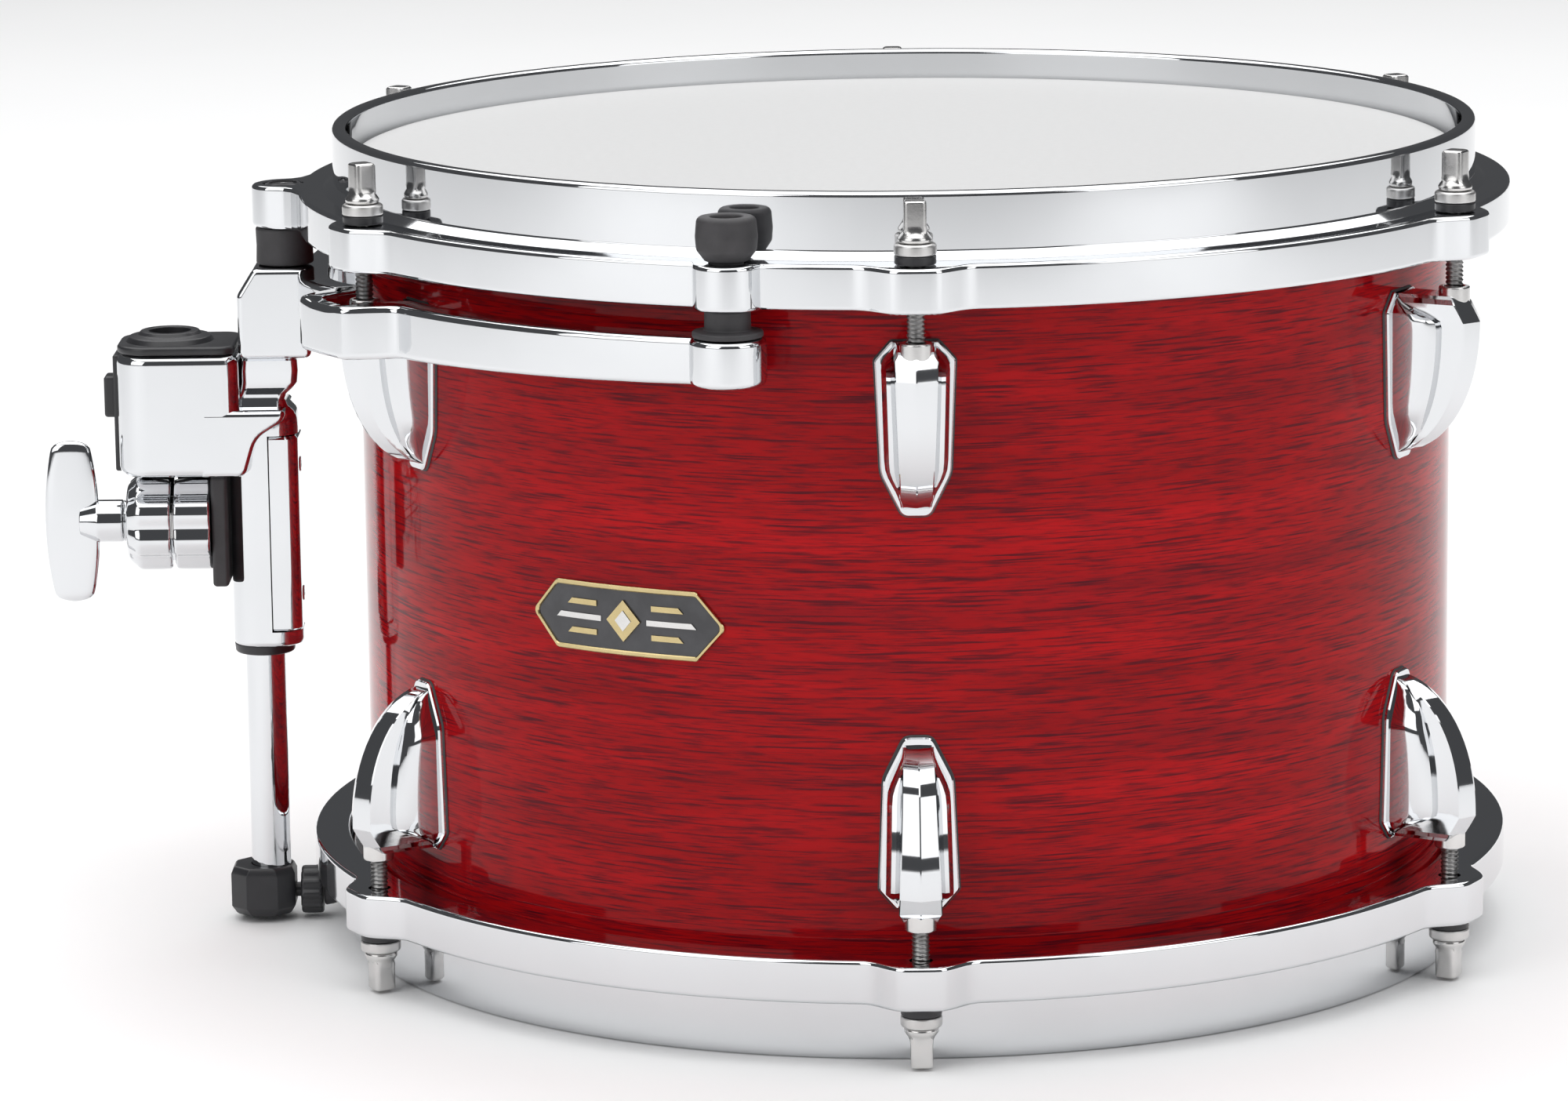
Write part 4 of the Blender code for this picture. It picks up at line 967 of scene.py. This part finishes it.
def make_bushes():
    """Flanged bush in the holder-rod socket, bush at the sleeve's lower end, lid and memory-lock key."""
    outline = drawn([(6.35, -54.3, 0.4), (8.8, -54.3, 0.5), (9.6, -55.3, 0.4), (12.4, -55.9, 0.8),
                     (13.4, -57.5, 0.6), (13.4, -59.6, 0), (8, -59.6, 0), (8, -97.4, 0.3),
                     (6.35, -97.4, 0.3)])
    piece("socket_bush_fine", turned(outline, 48, (SOCKET_X, 0.0)), "plastic", "rod_socket_bush")
    outline = drawn([(6.3, -150.9, 0.2), (9.3, -150.9, 0.3), (9, -153.8, 0.8), (6.3, -153.8, 0.3)])
    piece("sleeve_bush", turned(outline, 40, (STABILISER_X, 0.0)), "plastic")
    corners = scaled([(-238, -15.6, 9.6), (-202, -15.6, 5), (-202, 15.6, 5), (-238, 15.6, 9.6)])
    lid = plate(corners, -59.9 * MM, -57.4 * MM, "Z", 0.9 * MM, 8)
    piece("housing_lid", lid, "plastic", tools=[drill(7.9 * MM, -0.09, 0.0, SOCKET_X)])
    key = block((-242.7, -237.5), 4.2, (-80.4, -67.8), 1.0)
    block((-239.6, -237.0), 6.0, (-96.6, -61.0), 0.7, key)
    piece("memory_lock_key", key, "plastic")


def make_clamp():
    """The fixed and moving halves of the holder-rod clamp, its eye bolt and pad."""
    seat = drawn([(-222.1, 0.2, 0), (-222.1, 15.2, 1), (-210.9, 15.2, 1), (-210.9, 0.2, 0)], False)
    shoe = drawn([(-222.9, 0.2, 0), (-222.9, 15.2, 1), (-233, 15.2, 3), (-236.4, 12, 3), (-237.8, 7, 1),
                  (-237.8, 0.2, 0)], False)
    bore = turned_x([(-0.25, 4.1 * MM), (SOCKET_X, 4.1 * MM)], 32, CLAMP_Z)
    for node, body, profile, tools in (("clamp_seat", "drum", seat, []),
                                       ("clamp_shoe", "clamp_shoe_body", shoe, [bore])):
        groove = drill(6.5 * MM, CLAMP_Z - 0.03, CLAMP_Z + 0.03, SOCKET_X)
        cavity = drill(10.2 * MM, CLAMP_Z - 4.6 * MM, CLAMP_Z + 4.6 * MM, SOCKET_X)
        piece(node + "_fine", fluted_x(profile, 8, 1.5 * MM, CLAMP_Z), "chrome", node, body=body,
              crease=CASTING_CREASE_DEG, tools=[groove, cavity, *tools])
    low, high = CLAMP_Z - 4.0 * MM, CLAMP_Z + 4.0 * MM
    ring = rounded([(6.6 * MM, low, 0.6 * MM), (9.6 * MM, low, 0.6 * MM), (9.6 * MM, high, 0.6 * MM),
                    (6.6 * MM, high, 0.6 * MM)])
    bm = turned(ring, 40, (SOCKET_X, 0.0))
    turned_x(scaled([(-246.5, 3), (-246, 3.5), (-230.6, 3.5)]), 24, CLAMP_Z, bm)
    piece("eye_bolt_fine", bm, "steel", "clamp_eye_bolt")
    piece("clamp_pad_fine", block((-210.6, -205.7), 12.0, (-131.7, -97.7), 1.2), "rubber", "clamp_pad")


def wing_ring(share):
    """One cross-section of the wings, share of the way from the lower end to the upper one."""
    out = abs(share)
    middle = -253.9 * MM
    wide = 8.3 * MM * (1.0 - 0.34 * out ** 2.2) * max(1.0 - max(0.0, (out - 0.88) / 0.12) ** 2.6, 0.02) ** 0.5
    thick = (2.3 - 0.8 * out) * MM * math.sqrt(max(1.0 - max(0.0, (out - 0.9) / 0.1) ** 2, 0.08))
    z = CLAMP_Z + share * 24.8 * MM
    points = []
    for k in range(28):
        angle = math.tau * k / 28
        x, y = math.cos(angle), math.sin(angle)
        across = wide * math.copysign(abs(x) ** 0.7, x)
        points.append((middle + across, thick * math.copysign(abs(y) ** 0.7, y), z))
    return points


def make_wing_nut():
    """The wing nut: a round hub and two blades that thin toward round ends."""
    shares = [-1.0, -0.993, -0.975, -0.95, -0.91, -0.86, -0.8, -0.7, -0.55, -0.4, -0.2, 0.0]
    shares += [-share for share in reversed(shares[:-1])]
    bm = skin([wing_ring(share) for share in shares])
    hub = drawn([(-251.6, 0.2, 0), (-251.6, 4.2, 0.5), (-246, 6.5, 2), (-238.1, 6.5, 0.8),
                 (-238.1, 0.2, 0)], False)
    turned_x(hub, 36, CLAMP_Z, bm)
    piece("wing_nut_fine", bm, "chrome", "wing_nut", body="wing_nut_body")


# --- stabiliser -----------------------------------------------------------------------------------


def make_stabiliser():
    """The plain rod that slides in the sleeve."""
    rod = drawn([(0.2, -225, 0), (6, -225, 0.8), (6, -85.6, 0.8), (0.2, -85.6, 0)], False)
    bm = turned(rod, 48, (STABILISER_X, 0.0), "cap")
    piece("stabiliser_fine", bm, "chrome", "stabiliser_rod", body="stabiliser")


def foot_ring(z, grow):
    """The foot block's outline at a height, a square with its corners cut, grown or shrunk."""
    middle, half, corner = -198.6 * MM, 9.8 * MM + grow, 5.0 * MM
    corners = []
    for x, y in ((1, -1), (1, 1), (-1, 1), (-1, -1)):
        first = (middle + x * (half - corner), y * half, 0.5 * MM)
        second = (middle + x * half, y * (half - corner), 0.5 * MM)
        corners += [first, second] if x * y < 0 else [second, first]
    return [(a, b, z) for a, b in rounded(corners, steps=2)]


def make_foot():
    """Foot block, fluted thumbscrew and rubber tip."""
    levels = scaled([(-236, -1.9), (-235.4, -1.3), (-233.6, -0.3), (-233, 0), (-223, 0), (-221.2, -0.8),
                     (-220.6, -1.4)])
    socket = drill(6.3 * MM, -225.3 * MM, -0.2, STABILISER_X)
    bore = turned_x([(-205.4 * MM, 2.6 * MM), (-0.18, 2.6 * MM)], 24, SCREW_Z)
    piece("foot_fine", skin([foot_ring(z, grow) for z, grow in levels]), "plastic", "foot_block", body="foot",
          crease=20.0, tools=[socket, bore])
    rings = []
    for x, grow in ((-187, -0.8), (-186.6, -0.2), (-186, 0), (-181.4, 0), (-180.8, -0.2), (-180.4, -0.8)):
        ring = []
        for k in range(96):
            angle = math.tau * k / 96
            flute = 0.8 * (1.0 - math.cos(12 * angle)) / 2
            radius = (7.6 + grow - flute) * MM
            ring.append((x * MM, radius * math.sin(angle), SCREW_Z + radius * math.cos(angle)))
        rings.append(ring)
    bm = skin(rings)
    turned_x(scaled([(-203, 2.2), (-186, 2.2)]), 24, SCREW_Z, bm)
    piece("thumbscrew_fine", bm, "plastic", "foot_thumbscrew", body="foot_thumbscrew_body")
    tip = drawn([(-180, 0.2, 0), (-180, 5, 0.6), (-177.5, 4.6, 1), (-172, 2.9, 1.6), (-172, 0.2, 0)], False)
    piece("foot_tip_fine", turned_x(tip, 36, SCREW_Z), "rubber", "foot_tip", body="foot_tip_body")


# --- badge ----------------------------------------------------------------------------------------


def badge_point(across, up, lift):
    """A point on the shell, measured round it and up from the badge's centre."""
    degrees = BADGE_DEG + math.degrees(across / SHELL_RADIUS)
    return (*polar(degrees, SHELL_RADIUS + lift), BADGE_Z + up)


def split(outline, parts):
    """An outline with every side cut into parts, so that it can bend round the shell."""
    points = []
    for (a, b), (c, d) in zip(outline, outline[1:] + outline[:1]):
        points += [(a + (c - a) * k / parts, b + (d - b) * k / parts) for k in range(parts)]
    return points


def badge_ring(sizes, margin, lift):
    """The badge's six-sided outline, a margin inside its edge and lifted off the shell."""
    half_w, half_h = sizes.badge_width / 2 - margin, sizes.badge_height / 2 - margin
    cut = half_h * 0.9
    corners = [(-half_w + cut, -half_h, 1.5 * MM), (half_w - cut, -half_h, 1.5 * MM), (half_w, 0.0, 2.0 * MM),
               (half_w - cut, half_h, 1.5 * MM), (-half_w + cut, half_h, 1.5 * MM), (-half_w, 0.0, 2.0 * MM)]
    return [badge_point(a, b, lift) for a, b in split(rounded(corners), 4)]


def badge_field(sizes):
    """The dark field inside the rim, a strip of quads that follows the shell."""
    half_w, half_h = sizes.badge_width / 2 - 1.3 * MM, sizes.badge_height / 2 - 1.3 * MM
    columns, rows = 40, 4
    bm = bmesh.new()
    lines = []
    for k in range(columns + 1):
        across = half_w * (2.0 * k / columns - 1.0)
        reach = half_h * min(1.0, (half_w - abs(across)) / (half_h * 0.9) + 0.02)
        ups = [reach * (2.0 * row / rows - 1.0) for row in range(rows + 1)]
        lines.append([bm.verts.new(badge_point(across, up, 0.5 * MM)) for up in ups])
    quads(bm, lines)
    return bm


def badge_patch(name, outline, lift, key):
    """A flat shape raised off the badge's field; outline is in millimetres from the badge's centre."""
    points = split(scaled(outline), 6)
    rings = [[badge_point(a, b, level * MM) for a, b in points] for level in (0.3, lift)]
    piece(name, skin(rings), key)


def make_badge(sizes):
    """A plain long hexagonal plate: gilt rim, dark field, a lozenge and bars each side."""
    margins = ((0.0, -0.4), (0.0, 0.8), (0.3, 1.1), (1.1, 1.1), (1.4, 0.8), (1.4, -0.4))
    rim = [badge_ring(sizes, margin, lift) for margin, lift in scaled(margins)]
    piece("badge_rim", skin(rim, "join"), "gilt")
    piece("badge_field", badge_field(sizes), "enamel")
    badge_patch("badge_lozenge", [(-5.5, 0.0), (0.0, -6.0), (5.5, 0.0), (0.0, 6.0)], 1.1, "gilt")
    badge_patch("badge_lozenge_core", [(-2.6, 0.0), (0.0, -3.0), (2.6, 0.0), (0.0, 3.0)], 1.3, "steel")
    for side in (-1, 1):
        for k, (start, end) in enumerate(((9.0, 19.0), (7.5, 23.0), (9.0, 19.0))):
            low = (k - 1) * 4.2 - 0.8
            high = low + 1.6
            bar = [(side * start, low), (side * end, low), (side * (end - 1.5), high), (side * start, high)]
            badge_patch(f"badge_bar_{side + 1}_{k}", bar, 0.9, "steel" if k == 1 else "gilt")


# --- stage ----------------------------------------------------------------------------------------


def area_light(name, spot, target, width, height, power):
    """A rectangular light aimed at a target."""
    light = bpy.data.lights.new(name, "AREA")
    light.shape = "RECTANGLE"
    light.size = width
    light.size_y = height
    light.energy = power
    item = linked(name, light)
    item.location = spot
    item.rotation_euler = (Vector(target) - Vector(spot)).to_track_quat("-Z", "Y").to_euler()


def make_floor():
    """A wide pale floor."""
    bm = bmesh.new()
    lines = []
    for k in range(16):
        y = -4.0 + 7.8 * k / 15
        lines.append([bm.verts.new((x, y, FLOOR_Z)) for x in (-2.6, -1.3, 0.0, 1.3, 2.6)])
    quads(bm, lines)
    linked("floor", mesh_of("floor", bm, "paper"))


def make_camera():
    """The camera in front of the drum, turned by its yaw and pitch and then rolled."""
    spin = Matrix.Rotation(math.radians(CAMERA_SPIN_DEG), 3, "Z")
    level = math.cos(CAMERA_PITCH)
    forward = Vector((math.sin(CAMERA_YAW) * level, math.cos(CAMERA_YAW) * level, -math.sin(CAMERA_PITCH)))
    right = Vector((math.cos(CAMERA_YAW), -math.sin(CAMERA_YAW), 0.0))
    up = right.cross(forward)
    across = right * math.cos(CAMERA_ROLL) + up * math.sin(CAMERA_ROLL)
    upward = up * math.cos(CAMERA_ROLL) - right * math.sin(CAMERA_ROLL)
    axes = [spin @ axis for axis in (across, upward, -forward)]
    matrix = Matrix([[axis[row] for axis in axes] for row in range(3)]).to_4x4()
    matrix.translation = spin @ Vector(CAMERA_SPOT)
    data = bpy.data.cameras.new("camera")
    data.lens = CAMERA_LENS
    data.sensor_width = CAMERA_SENSOR
    data.clip_start = 0.05
    item = linked("camera", data)
    item.matrix_world = matrix
    bpy.context.scene.camera = item


def make_stage():
    """Floor, lights, a little light from all round, and the camera."""
    make_floor()
    for light in LIGHTS:
        area_light(*light)
    world = bpy.data.worlds.new("studio")
    world.use_nodes = True
    backdrop = world.node_tree.nodes["Background"]
    backdrop.inputs["Color"].default_value = AIR_COLOUR
    backdrop.inputs["Strength"].default_value = AIR_STRENGTH
    bpy.context.scene.world = world
    bpy.context.scene.view_settings.view_transform = "Standard"
    make_camera()


# --- operators ------------------------------------------------------------------------------------


class TOM_OT_shell(bpy.types.Operator):
    """Build the lacquered shell and its vent"""

    bl_idname = "tom.shell"
    bl_label = "Shell"

    def execute(self, context):
        make_shell(context.scene.tom_sizes)
        make_vent()
        return {"FINISHED"}


class TOM_OT_heads(bpy.types.Operator):
    """Build both drumheads and their flesh hoops"""

    bl_idname = "tom.heads"
    bl_label = "Heads"

    def execute(self, context):
        make_head("batter_film", "batter_head", context.scene.tom_sizes, same)
        make_head("resonant_film", "resonant_head", context.scene.tom_sizes, mirrored)
        return {"FINISHED"}


class TOM_OT_hoops(bpy.types.Operator):
    """Build both die-cast hoops"""

    bl_idname = "tom.hoops"
    bl_label = "Hoops"

    def execute(self, context):
        make_hoop("batter_hoop_fine", "batter_hoop", True, context.scene.tom_sizes, same)
        make_hoop("resonant_hoop_fine", "resonant_hoop", False, context.scene.tom_sizes, mirrored)
        return {"FINISHED"}


class TOM_OT_lugs(bpy.types.Operator):
    """Build the lugs with their seats, nuts and screws"""

    bl_idname = "tom.lugs"
    bl_label = "Lugs"

    def execute(self, context):
        make_lugs()
        return {"FINISHED"}


class TOM_OT_rods(bpy.types.Operator):
    """Build the tension rods and their washers"""

    bl_idname = "tom.rods"
    bl_label = "Tension rods"

    def execute(self, context):
        make_rods()
        return {"FINISHED"}


class TOM_OT_frame(bpy.types.Operator):
    """Build the suspension frame"""

    bl_idname = "tom.frame"
    bl_label = "Suspension frame"

    def execute(self, context):
        make_frame(context.scene.tom_sizes)
        return {"FINISHED"}


class TOM_OT_grommets(bpy.types.Operator):
    """Build the rubber grommets and their bolts"""

    bl_idname = "tom.grommets"
    bl_label = "Grommets"

    def execute(self, context):
        make_grommets()
        return {"FINISHED"}


class TOM_OT_casting(bpy.types.Operator):
    """Build the clamp casting and its bushes"""

    bl_idname = "tom.casting"
    bl_label = "Clamp casting"

    def execute(self, context):
        make_housing(context.scene.tom_sizes)
        make_sleeve()
        make_bushes()
        return {"FINISHED"}


class TOM_OT_clamp(bpy.types.Operator):
    """Build the holder-rod clamp and its wing nut"""

    bl_idname = "tom.clamp"
    bl_label = "Rod clamp"

    def execute(self, context):
        make_clamp()
        make_wing_nut()
        return {"FINISHED"}


class TOM_OT_stabiliser(bpy.types.Operator):
    """Build the stabiliser rod and its foot"""

    bl_idname = "tom.stabiliser"
    bl_label = "Stabiliser"

    def execute(self, context):
        make_stabiliser()
        make_foot()
        return {"FINISHED"}


class TOM_OT_badge(bpy.types.Operator):
    """Build the plain badge on the shell"""

    bl_idname = "tom.badge"
    bl_label = "Badge"

    def execute(self, context):
        make_badge(context.scene.tom_sizes)
        return {"FINISHED"}


class TOM_OT_stage(bpy.types.Operator):
    """Build the floor, lights and camera"""

    bl_idname = "tom.stage"
    bl_label = "Stage"

    def execute(self, context):
        make_stage()
        return {"FINISHED"}


OPERATORS = (TOM_OT_shell, TOM_OT_heads, TOM_OT_hoops, TOM_OT_lugs, TOM_OT_rods, TOM_OT_frame,
             TOM_OT_grommets, TOM_OT_casting, TOM_OT_clamp, TOM_OT_stabiliser, TOM_OT_badge, TOM_OT_stage)


class TOM_PT_panel(bpy.types.Panel):
    """The drum's settings and its build steps"""

    bl_idname = "TOM_PT_panel"
    bl_label = "Rack Tom Drum"
    bl_space_type = "VIEW_3D"
    bl_region_type = "UI"
    bl_category = "Tom"

    def draw(self, context):
        column = self.layout.column(align=True)
        for group in (context.scene.tom_sizes, context.scene.tom_colours):
            for name in group.bl_rna.properties.keys():
                if name not in ("name", "rna_type"):
                    column.prop(group, name)
        for operator in OPERATORS:
            column.operator(operator.bl_idname)


CLASSES = (TomSizes, TomColours, *OPERATORS, TOM_PT_panel)


def register():
    for item in CLASSES:
        bpy.utils.register_class(item)
    bpy.types.Scene.tom_sizes = PointerProperty(type=TomSizes)
    bpy.types.Scene.tom_colours = PointerProperty(type=TomColours)


def unregister():
    del bpy.types.Scene.tom_colours
    del bpy.types.Scene.tom_sizes
    for item in reversed(CLASSES):
        bpy.utils.unregister_class(item)


def main():
    """Build every group of pieces and the stage."""
    register()
    for operator in OPERATORS:
        group, name = operator.bl_idname.split(".")
        getattr(getattr(bpy.ops, group), name)()


if __name__ == "__main__":
    main()
